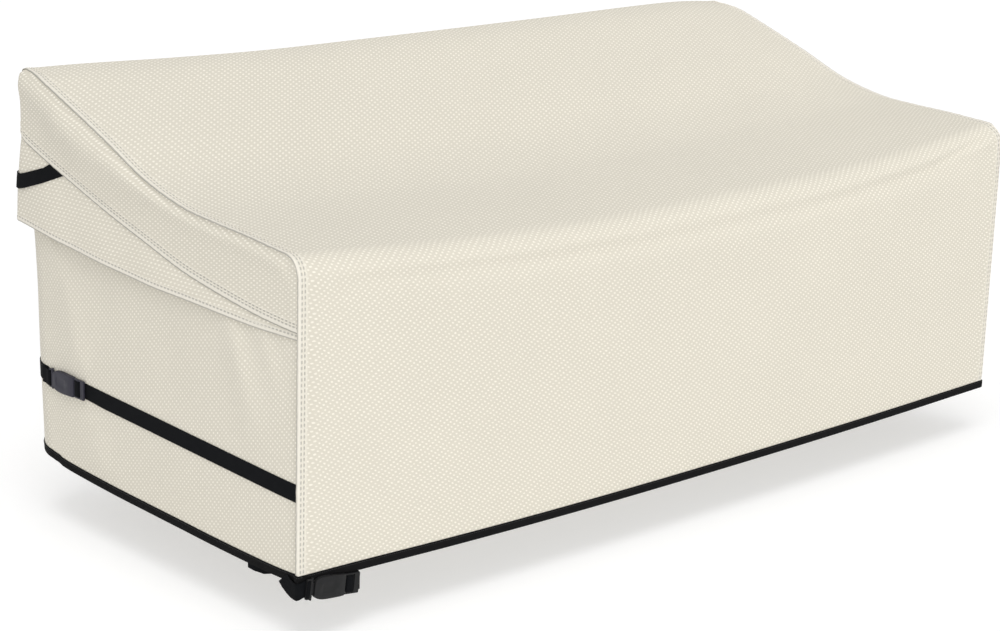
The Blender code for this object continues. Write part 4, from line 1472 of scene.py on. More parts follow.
@dataclass
class SideGore:
    """The narrow panel that closes a side between the centre panel's edge and the vent seam."""

    side: int
    hand: str
    body_rows: int = 16
    seam_share: float = 0.5     # the vent seam's fine rows take this share of the height at most
    top_ramp: Pair = (0.003, 0.016)     # distances over which the creases fade in from the top edge,
    seam_ramp: Pair = (0.004, 0.020)    # and from the vent seam
    relief_ramp: Pair = (0.0, 0.006)    # and the seam's relief from the top edge
    end_ramp: Pair = (0.0, 0.012)       # and from the front end
    weave: tuple[Pair, ...] = ((0.72, 0.21), (0.02, 1.17))
    creases: tuple[Crease, ...] = (
        Crease(0, ((0.057, 0.574, 0.0046, 0.0120), (0.114, 0.584, 0.0054, 0.0115),
                   (0.290, 0.598, 0.0064, 0.0130), (0.382, 0.613, 0.0080, 0.0160),
                   (0.477, 0.635, 0.0104, 0.0205), (0.574, 0.660, 0.0145, 0.0290),
                   (0.657, 0.681, 0.0165, 0.0335), (0.742, 0.716, 0.0160, 0.0335),
                   (0.812, 0.750, 0.0090, 0.0300)), 1.35),
        Crease(0, ((0.030, 0.540, 0.0012, 0.0120), (0.026, 0.500, 0.0010, 0.0120))),
        Crease(0, ((0.842, 0.735, 0.0014, 0.0070), (0.834, 0.690, 0.0005, 0.0060))),
        Crease(0, ((0.815, 0.742, 0.0012, 0.0060), (0.806, 0.690, 0.0005, 0.0060))),
        Crease(0, ((0.862, 0.742, -0.0014, 0.0060), (0.858, 0.690, -0.0005, 0.0060))),
    )

    def stations(self) -> tuple[list[Station], list[float]]:
        """Stations along the gore and the height of its top edge at each."""
        rows = [row for row in panel_rows() if row.stretch in (Stretch.FOLD, Stretch.TOP, Stretch.RIDGE)]
        rows.append(PanelRow(Stretch.BACK, 0.0))
        first = PanelRow(Stretch.FACE, 1 - 0.01)
        edge = [panel_point(row, self.side)[1:] for row in [first] + rows]
        under = offset_inward(edge, CLOTH + 2 * GAP)[1:]
        stations, tops = [], []
        for row, (y, z) in zip(rows, under):
            if row.stretch is Stretch.RIDGE and row.place < 90.0:
                stations.append(Station(Kind.ARC, 90.0 - row.place))
            elif row.stretch is Stretch.BACK:
                stations.append(Station(Kind.ARC, 90.0))
            else:
                stations.append(Station(Kind.SIDE, y))
            tops.append(z)
        return stations + [Station(Kind.TAIL, GORE_TAIL)], tops + [tops[-1]]

    def make(self, finishes: Finishes, seams: Seams) -> Object:
        """Builds the gore and lays the stitch rows of the vent seam.

        Args:
            finishes: the materials.
            seams: where its stitches go.

        Returns:
            The gore.
        """
        steps = VENT_SEAM.edge_steps()
        stations, tops = self.stations()
        grid = []
        for station, top in zip(stations, tops):
            seam = SIDE_LINES.at("seam_z", station_y(station))
            reach = min(steps[-1], (top - seam) * self.seam_share)
            heights = [seam + step * reach / steps[-1] for step in steps]
            heights += spread(heights[-1], top, self.body_rows + 1)[1:]
            ease = 0.0
            if station.kind is Kind.SIDE:
                ease = ease_ahead(station.place)
            elif station.kind is Kind.ARC:
                ease = ease_round(station.place)
            line = []
            for z in heights:
                bulge = CORNER_BULGE * math.exp(-(((top - z - BULGE_BELOW) / BULGE_WIDTH) ** 2))
                out = ease * (bulge - eased(top - z))
                point, normal = wall_point(station, self.side, z, 1)
                line.append(point + normal * out)
            grid.append(line)
        cloth = Cloth(grid)
        along, rise = cloth.lengths[..., 0], cloth.lengths[..., 1]
        cloth.hang_weave(*self.weave)
        cloth.hem_along(rise, along)
        below_top = rise[:, -1:] - rise
        cloth.crease(self.creases, fade(below_top, *self.top_ramp) * fade(rise, *self.seam_ramp))
        ends = fade(along, *self.end_ramp)
        cloth.raise_by(VENT_SEAM.heights(rise, along) * fade(below_top, *self.relief_ramp) * ends)
        for row in VENT_SEAM.rows:
            points, normals = cloth.line(row=steps.index(row))
            seams.sand.run(points[2:], normals[2:], cloth.lengths[2:, steps.index(row), 0])
        piece = cloth.build("gore_cloth_" + self.hand, finishes.gore)
        return enter_piece(piece, Slot.FABRIC, "gore_" + self.hand)


@dataclass
class VentFlap:
    """The flap that hangs free below the vent seam, with its rolled and stitched free edge."""

    name: str
    side: int
    stations: list[Station]
    body_rows: int = 12
    hem_share: float = 0.7      # the free hem's fine rows take this share of the height at most
    hang_ramp: Pair = (0.0, 0.08)       # distances over which the wave fades in below the vent seam,
    front_ramp: Pair = (0.0, 0.1)       # and from the front end
    relief_ramp: Pair = (0.002, 0.008)  # and the hem's relief below the vent seam
    wave: float = 0.0012
    wave_length: float = 0.19
    wave_start: float = 0.7
    weave: tuple[Pair, ...] = ((0.51, 0.43), (-0.43, 1.02))

    def make(self, finishes: Finishes, seams: Seams) -> Object:
        """Builds the flap and lays the stitches of its free edge.

        Args:
            finishes: the materials.
            seams: where its stitches go.

        Returns:
            The flap.
        """
        steps = FREE_HEM.edge_steps()
        grid = []
        for station in self.stations:
            y = station_y(station)
            seam, edge = SIDE_LINES.at("seam_z", y), SIDE_LINES.at("flap_z", y)
            reach = min(steps[-1], (seam - edge) * self.hem_share)
            heights = [edge + step * reach / steps[-1] for step in steps]
            heights += spread(heights[-1], seam, self.body_rows)[1:] + [seam + SEAM_LAP]
            grid.append([flap_point(station, self.side, z)[0] for z in heights])
        cloth = Cloth(grid)
        along, rise = cloth.lengths[..., 0], cloth.lengths[..., 1]
        cloth.hang_weave(*self.weave)
        cloth.hem_along(rise, along)
        below_seam = rise[:, -2:-1] - rise
        wave = np.sin(2 * math.pi * along / self.wave_length + self.wave_start) * self.wave
        cloth.raise_by(wave * fade(below_seam, *self.hang_ramp) * fade(along, *self.front_ramp))
        cloth.raise_by(FREE_HEM.heights(rise, along) * fade(below_seam, *self.relief_ramp))
        row = steps.index(FREE_HEM.rows[0])
        points, normals = cloth.line(row=row)
        seams.free.run(points[1:-1], normals[1:-1], cloth.lengths[1:-1, row, 0])
        piece = cloth.build(self.name.replace("flap", "flap_cloth"), finishes.flap)
        return enter_piece(piece, Slot.FABRIC, self.name)


@dataclass
class LowerPanel:
    """The panel from behind the flap down to the hem."""

    name: str
    side: int
    stations: list[Station]
    row_step: float = 0.012
    belt_ramp: Pair = (0.004, 0.045)    # distances over which the creases fade in from the belt,
    hem_ramp: Pair = (0.003, 0.035)     # and from the binding
    weave: tuple[Pair, ...] = ((0.95, 0.25), (0.03, 0.93))
    creases: tuple[Crease, ...] = (
        Crease(0, ((0.768, 0.446, 0.0052, 0.0760), (0.736, 0.389, 0.0054, 0.0760),
                   (0.723, 0.331, 0.0052, 0.0780), (0.703, 0.275, 0.0046, 0.0800),
                   (0.684, 0.229, 0.0034, 0.0800)), 0.38),
        Crease(0, ((0.650, 0.120, 0.0024, 0.0800), (0.635, 0.075, 0.0038, 0.0800),
                   (0.605, 0.037, 0.0032, 0.0800)), 0.45),
        Crease(0, ((0.208, 0.449, 0.0042, 0.0400), (0.193, 0.415, 0.0046, 0.0400),
                   (0.180, 0.381, 0.0042, 0.0420), (0.160, 0.330, 0.0026, 0.0440),
                   (0.150, 0.280, 0.0012, 0.0460)), 0.55),
        Crease(0, ((0.122, 0.458, 0.0030, 0.0260), (0.106, 0.429, 0.0036, 0.0260),
                   (0.092, 0.396, 0.0032, 0.0280), (0.071, 0.346, 0.0020, 0.0300),
                   (0.060, 0.294, 0.0008, 0.0300)), 0.7),
    )

    def make(self, finishes: Finishes) -> Object:
        """Builds the panel.

        Args:
            finishes: the materials.

        Returns:
            The panel.
        """
        grid = []
        for station in self.stations:
            hem = hem_z(station, self.side) + TAPE + GAP
            seam = SIDE_LINES.at("seam_z", station_y(station)) + SEAM_LAP
            count = int((BACK_SEAM_HEIGHT + SEAM_LAP) / self.row_step) + 1
            heights = spread(hem, seam, count)
            grid.append([lower_point(station, self.side, z)[0] for z in heights])
        cloth = Cloth(grid)
        cloth.lay_weave(*self.weave)
        belt = np.array([SIDE_LINES.at("belt_z", station_y(station)) for station in self.stations])
        hem = np.array([hem_z(station, self.side) for station in self.stations])
        off_belt = np.abs(cloth.points[..., 2] - belt[:, None]) - WEBBING_WIDTH / 2
        off_hem = cloth.points[..., 2] - hem[:, None] - BINDING_HEIGHT
        clear = fade(off_belt, *self.belt_ramp) * fade(off_hem, *self.hem_ramp)
        if self.side_panel():
            cloth.crease(self.creases, clear)
        piece = cloth.build(self.name.replace("panel", "cloth"), finishes.lower)
        return enter_piece(piece, Slot.FABRIC, self.name)

    def side_panel(self) -> bool:
        """Whether this is the panel of a side."""
        return self.stations[0].kind is Kind.SIDE


LOOP_CLOSES = 0.00002           # the binding's two ends lie on each other and are joined


@dataclass
class HemBinding:
    """Black tape folded round the whole hem and stitched through, one closed loop."""

    front_step: float = 0.010
    stitch_drop: float = 0.0032
    crown: float = 0.0003
    wall_shares: tuple[float, ...] = (0.0, 0.12, 0.26, 0.5, 0.74, 0.92)
    inner_shares: tuple[float, ...] = (0.1, 0.4, 0.7, 1.0)
    fold_share: float = 0.2         # where the fold's foot rounds, and how far it is lifted there
    fold_lift: float = 0.0003
    front_reach: float = 0.985
    corner_radius: float = 0.0014
    corner_outer_y: float = 0.0094
    corner_inner_y: float = 0.0050
    side_start: float = 0.0125

    def section(self, low: Array, high: Array, outward: Array,
                inside_low: Array, inside_high: Array) -> list[Array]:
        """Outer face of the folded tape, from the top of its outer wall to that of its inner wall.

        Args:
            low: foot of the outer wall.
            high: top of the outer wall.
            outward: the wall's outward direction.
            inside_low: foot of the inner wall.
            inside_high: top of the inner wall.

        Returns:
            The points in order.
        """
        points = []
        for share in self.wall_shares:
            swell = self.crown * math.sin(math.pi * min(1.0, share * 1.05))
            points.append(high + (low - high) * share + outward * swell)
        floor = (low + inside_low) / 2
        lift = np.array((0, 0, self.fold_lift))
        points += [low + (floor - low) * self.fold_share + lift, floor,
                   inside_low + (floor - inside_low) * self.fold_share + lift]
        return points + [inside_low + (inside_high - inside_low) * share for share in self.inner_shares]

    def lapped(self, low: Array, high: Array, normal: Array) -> list[Array]:
        """Section where the tape lies on one cloth, from that cloth's outer face."""
        out, back = normal * (GAP + TAPE), normal * (CLOTH + GAP + TAPE)
        return self.section(low + out, high + out, normal, low - back, high - back)

    def front(self) -> list[list[Array]]:
        """Sections across the front, from left to right."""
        reach = self.front_reach
        sections = []
        for x in spread(-reach, reach, int(2 * reach / self.front_step)):
            foot, hem = panel_point(PanelRow(Stretch.FACE, 0.0), x), DRAPE.at("hem_z", x)
            top = FRONT_HEIGHT - DRAPE.at("front_drop", x) - DRAPE.at("fold_radius", x)
            share = (BINDING_HEIGHT - TAPE - GAP) / (top - hem - TAPE - GAP)
            head = panel_point(PanelRow(Stretch.FACE, share), x)
            sections.append(self.lapped(np.array((x, foot[1], hem)), np.array((x, head[1], head[2])),
                                        np.array((0.0, -1.0, 0.0))))
        return sections

    def corner(self, side: int) -> list[list[Array]]:
        """Sections round a front corner, from the front to the side.

        Args:
            side: -1 left, 1 right.

        Returns:
            The sections, each a list of points.
        """
        hem = DRAPE.at("hem_z", side * HALF_WIDTH)
        outer = HALF_WIDTH + GAP + TAPE
        inner = HALF_WIDTH - inset(Station(Kind.SIDE, FRONT_EDGE), 3) - CLOTH - GAP - TAPE
        front = -GAP - TAPE
        radius = self.corner_radius
        plans = [
            ((outer - radius, front), (inner - 0.004, CLOTH + GAP + TAPE)),
            ((outer - radius * 0.3, front + radius * 0.3), (inner, CLOTH + GAP + TAPE)),
            ((outer, front + radius), (inner, CLOTH + GAP + TAPE + 0.0008)),
            ((outer, self.corner_outer_y), (inner, self.corner_inner_y)),
        ]
        sections = []
        for (x, y), (xi, yi) in plans:
            low, high = (np.array((side * x, y, hem + rise)) for rise in (0.0, BINDING_HEIGHT))
            low_in, high_in = (np.array((side * xi, yi, hem + rise)) for rise in (0.0, BINDING_HEIGHT))
            outward = np.array((side * 0.5, -0.5, 0.0))
            sections.append(self.section(low, high, outward, low_in, high_in))
        return sections

    def wall(self, stations: Sequence[Station], side: int) -> list[list[Array]]:
        """Sections along a side or the back.

        Args:
            stations: the places along the wall.
            side: -1 left, 1 right, and 1 for the back.

        Returns:
            The sections, each a list of points.
        """
        sections = []
        for station in stations:
            hem = hem_z(station, side)
            low, normal = lower_point(station, side, hem)
            high, _ = lower_point(station, side, hem + BINDING_HEIGHT)
            sections.append(self.lapped(low, high, normal))
        return sections

    def make(self, finishes: Finishes, seams: Seams) -> Object:
        """Builds the binding and lays its stitches.

        Args:
            finishes: the materials.
            seams: where its stitches go.

        Returns:
            The binding.
        """
        stations = [s for s in side_stations() if s.kind is not Kind.SIDE or s.place > self.side_start]
        right, left = self.wall(stations, 1), self.wall(stations, -1)
        back = self.wall(back_stations(), 1)
        loop = self.front() + self.corner(1) + right + back[::-1] + left[::-1] + self.corner(-1)[::-1]
        loop.append(loop[0])
        cloth = Cloth(loop)
        points = cloth.points
        outward = points[:, 3] - points[:, -3]
        outward /= np.linalg.norm(outward, axis=1, keepdims=True)
        foot = len(self.wall_shares) - 1
        height = self.stitch_drop / BINDING_HEIGHT
        line = points[:, 0] + (points[:, foot] - points[:, 0]) * height / self.wall_shares[foot]
        seams.black.run(line, outward, cloth.lengths[:, 0, 0], lift=0.0004)
        piece = cloth.build("binding_tape", finishes.binding, TAPE)
        clean(piece.data, bmesh.ops.remove_doubles, "verts", dist=LOOP_CLOSES)
        return enter_piece(piece, Slot.BINDING, "hem_binding")


# ---- webbing ---------------------------------------------------------------------------------------
PLATE_THICK = 0.0040
PLATE_BOTTOM = 0.0022
BODY_THICK = 0.0100
BODY_BOTTOM = 0.0006
SLOT_HALF = 0.0166
SLOT_PLAY = 0.0010
BELT_BUCKLE_Y = 0.738
BELT_SHORT_END = 0.614          # y where the front run leaves the cloth for the buckle's ladder
FOOT_BUCKLE = (-0.929, -0.0042, -0.0165)
FOOT_BUCKLE_TILT = 7.0
MALE_THREAD = (
    # x, z
    (-0.0620, 0.0011), (-0.0552, 0.0011), (-0.0542, 0.0017), (-0.0538, 0.0030), (-0.0538, 0.0064),
    (-0.0548, 0.0074), (-0.0600, 0.0074), (-0.0660, 0.0062), (-0.0740, 0.0035), (-0.0860, 0.0033),
)
LADDER_THREAD = (
    # x, z
    (0.0640, 0.0011), (0.0505, 0.0011), (0.0486, 0.0014), (0.0476, 0.0026), (0.0474, 0.0058),
    (0.0464, 0.0072), (0.0440, 0.0076), (0.0360, 0.0076), (0.0336, 0.0068), (0.0326, 0.0050),
    (0.0326, 0.0024),
)
FOOT_THREAD_STOPS = 7
FOOT_FRONT = (
    # x,      y,       z,       across_x, across_y, across_z
    (-0.9996, 0.0440, 0.0010, 0.00, 0.75, -0.66),
    (-0.9998, 0.0360, -0.0055, 0.00, 0.62, -0.78),
    (-1.0004, 0.0260, -0.0105, 0.00, 0.42, -0.91),
    (-1.0016, 0.0160, -0.0135, 0.00, 0.22, -0.98),
    (-1.0030, 0.0080, -0.0140, 0.00, 0.10, -1.00),
    (-1.0038, 0.0030, -0.0138, 0.00, 0.03, -1.00),
    (-1.0036, -0.0022, -0.0130, -0.02, 0.00, -1.00),
    (-1.0000, -0.0052, -0.0112, -0.08, 0.00, -1.00),
)
FOOT_BEHIND = (
    # x,      y,       z
    (-0.8605, -0.0020, -0.0250), (-0.8575, 0.0030, -0.0250), (-0.8562, 0.0120, -0.0245),
    (-0.8560, 0.0400, -0.0230), (-0.8565, 0.0750, -0.0210), (-0.8600, 0.0950, -0.0195),
    (-0.8720, 0.1070, -0.0175), (-0.9000, 0.1110, -0.0140), (-0.9400, 0.1120, -0.0090),
    (-0.9700, 0.1130, -0.0050), (-0.9860, 0.1180, -0.0030),
)
FOOT_SEAT = (
    # off,   y,       z
    (0.0030, 0.1260, -0.0015), (0.0000, 0.1360, -0.0010), (0.0000, 0.1560, 0.0000),
)


def belt_buckle_place() -> Matrix:
    """Axes of the side buckle: x forward towards its ladder end, z away from the cloth."""
    point, _ = lower_point(Station(Kind.SIDE, BELT_BUCKLE_Y), -1, SIDE_LINES.at("belt_z", BELT_BUCKLE_Y))
    turn = Matrix(((0, 0, -1), (-1, 0, 0), (0, 1, 0))).to_4x4()
    return Matrix.Translation(Vector(point) + Vector((-GAP / 2, 0, 0))) @ turn


def foot_buckle_place() -> Matrix:
    """Axes of the foot strap's buckle: x right towards its ladder end, z forward."""
    turn = Matrix(((1, 0, 0), (0, 0, -1), (0, 1, 0))).to_4x4()
    tilt = Matrix.Rotation(math.radians(FOOT_BUCKLE_TILT), 4, "Y")
    return Matrix.Translation(FOOT_BUCKLE) @ tilt @ turn


@dataclass
class Ribbon:
    """Webbing that follows pairs of edge points."""

    name: str
    node: str
    across: int = 7
    pairs: list[tuple[Array, Array]] = field(default_factory=list)

    def on_wall(self, stations: Iterable[Station], side: int) -> None:
        """Lays the belt along stations of the lower panels."""
        for station in stations:
            middle = SIDE_LINES.at("belt_z", station_y(station))
            pair = []
            for z in (middle - WEBBING_WIDTH / 2, middle + WEBBING_WIDTH / 2):
                point, normal = lower_point(station, side, z)
                pair.append(point + normal * (GAP + WEBBING / 2))
            self.pairs.append(tuple(pair))

    def through(self, stops: Iterable[Pair], place: Matrix) -> None:
        """Threads the webbing through a buckle along stops in the buckle's own axes."""
        half = SLOT_HALF - SLOT_PLAY
        for x, height in stops:
            self.pairs.append(tuple(np.array(place @ Vector((x, y, height))) for y in (-half, half)))

    def along(self, stops: Iterable[tuple[float, ...]]) -> None:
        """Leads the webbing along (x, y, z, across_x, across_y, across_z) stops."""
        for stop in stops:
            reach = np.array(stop[3:]) / np.linalg.norm(stop[3:]) * (SLOT_HALF - SLOT_PLAY)
            self.pairs.append((np.array(stop[:3]) + reach, np.array(stop[:3]) - reach))

    def make(self, finish: Material) -> Object:
        """Builds the webbing.

        Args:
            finish: its material.

        Returns:
            The piece.
        """
        grid = []
        for first, second in self.pairs:
            grid.append([first + (second - first) * share for share in spread(0.0, 1.0, self.across)])
        cloth = Cloth(grid)
        piece = cloth.build(self.name, finish, WEBBING, 0.0)
        return enter_piece(piece, Slot.WEBBING, self.node)


class Belt:
    """The side belt in its two runs: from the front seam to the buckle, and round the back."""

    def make(self, finishes: Finishes) -> list[Object]:
        """Builds both runs.

        Args:
            finishes: the materials.

        Returns:
            The two pieces.
        """
        place = belt_buckle_place()
        stations = side_stations()
        short = Ribbon("belt_webbing_front", "belt_front_left")
        short.on_wall([s for s in stations if s.kind is Kind.SIDE and s.place < BELT_SHORT_END], -1)
        short.through(LADDER_THREAD, place)
        long = Ribbon("belt_webbing_back", "belt_round_back")
        long.through(MALE_THREAD[::-1], place)
        long.on_wall([s for s in stations if s.kind in (Kind.ARC, Kind.TAIL)], -1)
        long.on_wall(back_stations(), 1)
        long.on_wall(stations[::-1], 1)
        return [run.make(finishes.webbing) for run in (short, long)]


@dataclass
class CornerHandle:
    """A webbing handle round a rear corner, from the vent seam of the side to that of the back."""

    side: int
    hand: str
    lift: float = 0.0006
    side_end: float = 0.785
    seam_cut: float = 0.047
    height: float = 0.575
    back_run: float = 0.240
    back_places: tuple[float, float, int] = (0.08, 1.0, 12)
    turn_places: tuple[float, ...] = (0.802, 0.8205, 0.835, 0.850, 0.863)
    across: int = 7

    def column(self, station: Station, side: int, middle: float) -> list[Array]:
        """Points across the handle where it crosses a station of the flap.

        Args:
            station: the place along the wall.
            side: -1 left, 1 right.
            middle: height of the handle's middle.

        Returns:
            The points.
        """
        column = []
        for share in spread(-0.5, 0.5, self.across):
            point, normal = flap_point(station, side, middle + share * HANDLE_WIDTH)
            column.append(point + normal * (self.lift + WEBBING))
        return column

    def start(self) -> list[Array]:
        """The first column, cut along the vent seam that it comes out of."""
        column = []
        for share in spread(1.0, 0.0, self.across):
            y = self.side_end - share * self.seam_cut
            top = SIDE_LINES.at("seam_z", y) - self.lift
            point, normal = flap_point(Station(Kind.SIDE, y), self.side, top)
            column.append(point + normal * (self.lift + WEBBING))
        return column

    def make(self, finishes: Finishes) -> Object:
        """Builds the handle.

        Args:
            finishes: the materials.

        Returns:
            The piece.
        """
        corner = [Station(Kind.ARC, angle) for angle in spread(0.0, 90.0, 13)]
        corner.append(Station(Kind.TAIL, GORE_TAIL))
        columns = [self.start()]
        start_y = self.side_end - HANDLE_WIDTH
        start_z = SIDE_LINES.at("seam_z", start_y)
        for y in self.turn_places:
            middle = start_z + (self.height - start_z) * ((y - start_y) / (RIDGE_Y - start_y))
            columns.append(self.column(Station(Kind.SIDE, y), self.side, middle))
        columns += [self.column(station, self.side, self.height) for station in corner]
        corner_x = plan_point(corner[-1], HALF_WIDTH, DEPTH, CORNER_RADIUS)[0][0]
        rise = BACK_SEAM_HEIGHT - self.lift - HANDLE_WIDTH / 2 - self.height
        for share in spread(*self.back_places):
            station = Station(Kind.BACK, self.side * (corner_x - share * self.back_run))
            columns.append(self.column(station, 1, self.height + share * rise))
        piece = Cloth(columns).build("handle_webbing_" + self.hand, finishes.webbing, WEBBING)
        return enter_piece(piece, Slot.WEBBING, "corner_handle_" + self.hand)


class FootStrap:
    """The foot strap at the front left: from the side hem to its buckle, and on behind the corner."""

    def make(self, finishes: Finishes) -> list[Object]:
        """Builds both runs.

        Args:
            finishes: the materials.

        Returns:
            The two pieces.
        """
        place = foot_buckle_place()
        front = Ribbon("foot_webbing_front", "foot_strap_front")
        front.along(FOOT_FRONT)
        front.through(MALE_THREAD[:FOOT_THREAD_STOPS], place)
        hem_inside = HALF_WIDTH - inset(Station(Kind.SIDE, FRONT_EDGE), 3) - CLOTH - GAP - TAPE
        seat = -hem_inside - SIDE_LINES.at("hem_out", FOOT_SEAT[-1][1]) + GAP + WEBBING / 2
        behind = Ribbon("foot_webbing_back", "foot_strap_back")
        behind.through(LADDER_THREAD[::-1], place)
        stops = list(FOOT_BEHIND) + [(seat + off, y, z) for off, y, z in FOOT_SEAT]
        behind.along([stop + (0.0, 0.0, -1.0) for stop in stops])
        return [run.make(finishes.webbing) for run in (front, behind)]


# ---- buckles ---------------------------------------------------------------------------------------
class Bench:
    """One mesh that is shaped in edit mode with Blender's own tools, as by hand."""

    def __init__(self, columns: int, rows: int, name: str) -> None:
        """Adds a flat grid of cells, two metres square, and enters edit mode.

        Args:
            columns: cells across.
            rows: cells along.
            name: the piece's name.
        """
        bpy.ops.object.select_all(action="DESELECT")
        bpy.ops.mesh.primitive_grid_add(x_subdivisions=columns, y_subdivisions=rows, size=2.0)
        self.piece = bpy.context.active_object
        self.piece.name = name
        bpy.ops.object.mode_set(mode="EDIT")

    def pick(self, kind: str, test: Callable[..., bool]) -> None:
        """Selects the vertices, edges or faces that pass a test and nothing else.

        Args:
            kind: VERT, EDGE or FACE.
            test: called with each element.
        """
        bpy.ops.mesh.select_mode(type=kind)
        bpy.ops.mesh.select_all(action="DESELECT")
        bm = bmesh.from_edit_mesh(self.piece.data)
        bm.normal_update()
        for item in {"VERT": bm.verts, "EDGE": bm.edges, "FACE": bm.faces}[kind]:
            if test(item):
                item.select_set(True)
        bm.select_flush_mode()
        bmesh.update_edit_mesh(self.piece.data)

    def place_grid(self, columns: Sequence[tuple[float, Sequence[float]]]) -> None:
        """Moves the grid's points to their places.

        Args:
            columns: (x, ys) of each column, from left to right.
        """
        across, up = len(columns) - 1, len(columns[0][1]) - 1
        bm = bmesh.from_edit_mesh(self.piece.data)
        for vert in bm.verts:
            x, ys = columns[round((vert.co.x + 1) / 2 * across)]
            vert.co = (x, ys[round((vert.co.y + 1) / 2 * up)], 0.0)
        bmesh.update_edit_mesh(self.piece.data)

    def cut_faces(self, test: Callable[..., bool]) -> None:
        """Deletes the faces that pass a test."""
        self.pick("FACE", test)
        bpy.ops.mesh.delete(type="FACE")

    def thicken(self, thickness: float, bottom: float) -> None:
        """Extrudes the flat grid upward and lifts it off the cloth.

        Args:
            thickness: how far it is extruded.
            bottom: height of its underside.
        """
        self.pick("FACE", lambda f: True)
        bpy.ops.mesh.extrude_region_move(TRANSFORM_OT_translate={"value": (0.0, 0.0, thickness)})
        self.pick("VERT", lambda v: True)
        self.move((0.0, 0.0, bottom))

    def move(self, offset: Triple) -> None:
        """Moves what is selected by an offset."""
        bpy.ops.transform.translate(value=offset)

    def inset(self, width: float) -> None:
        """Insets the selected faces."""
        bpy.ops.mesh.inset(thickness=width, depth=0.0)

    def bevel_sharp(self, width: float, segments: int = 2, angle: float = 35.0) -> None:
        """Bevels the edges that turn by more than an angle.

        Args:
            width: width of the bevel.
            segments: how many faces it has across.
            angle: the angle, in degrees.
        """
        limit = math.radians(angle)
        self.pick("EDGE", lambda e: len(e.link_faces) == 2 and e.calc_face_angle(0.0) > limit)
        bpy.ops.mesh.bevel(offset=width, segments=segments, affect="EDGES", clamp_overlap=True)

    def done(self) -> Object:
        """Turns the faces outward, leaves edit mode and returns the mesh's object."""
        bpy.ops.mesh.select_all(action="SELECT")
        bpy.ops.mesh.normals_make_consistent(inside=False)
        bpy.ops.object.mode_set(mode="OBJECT")
        bpy.ops.object.select_all(action="DESELECT")
        return self.piece


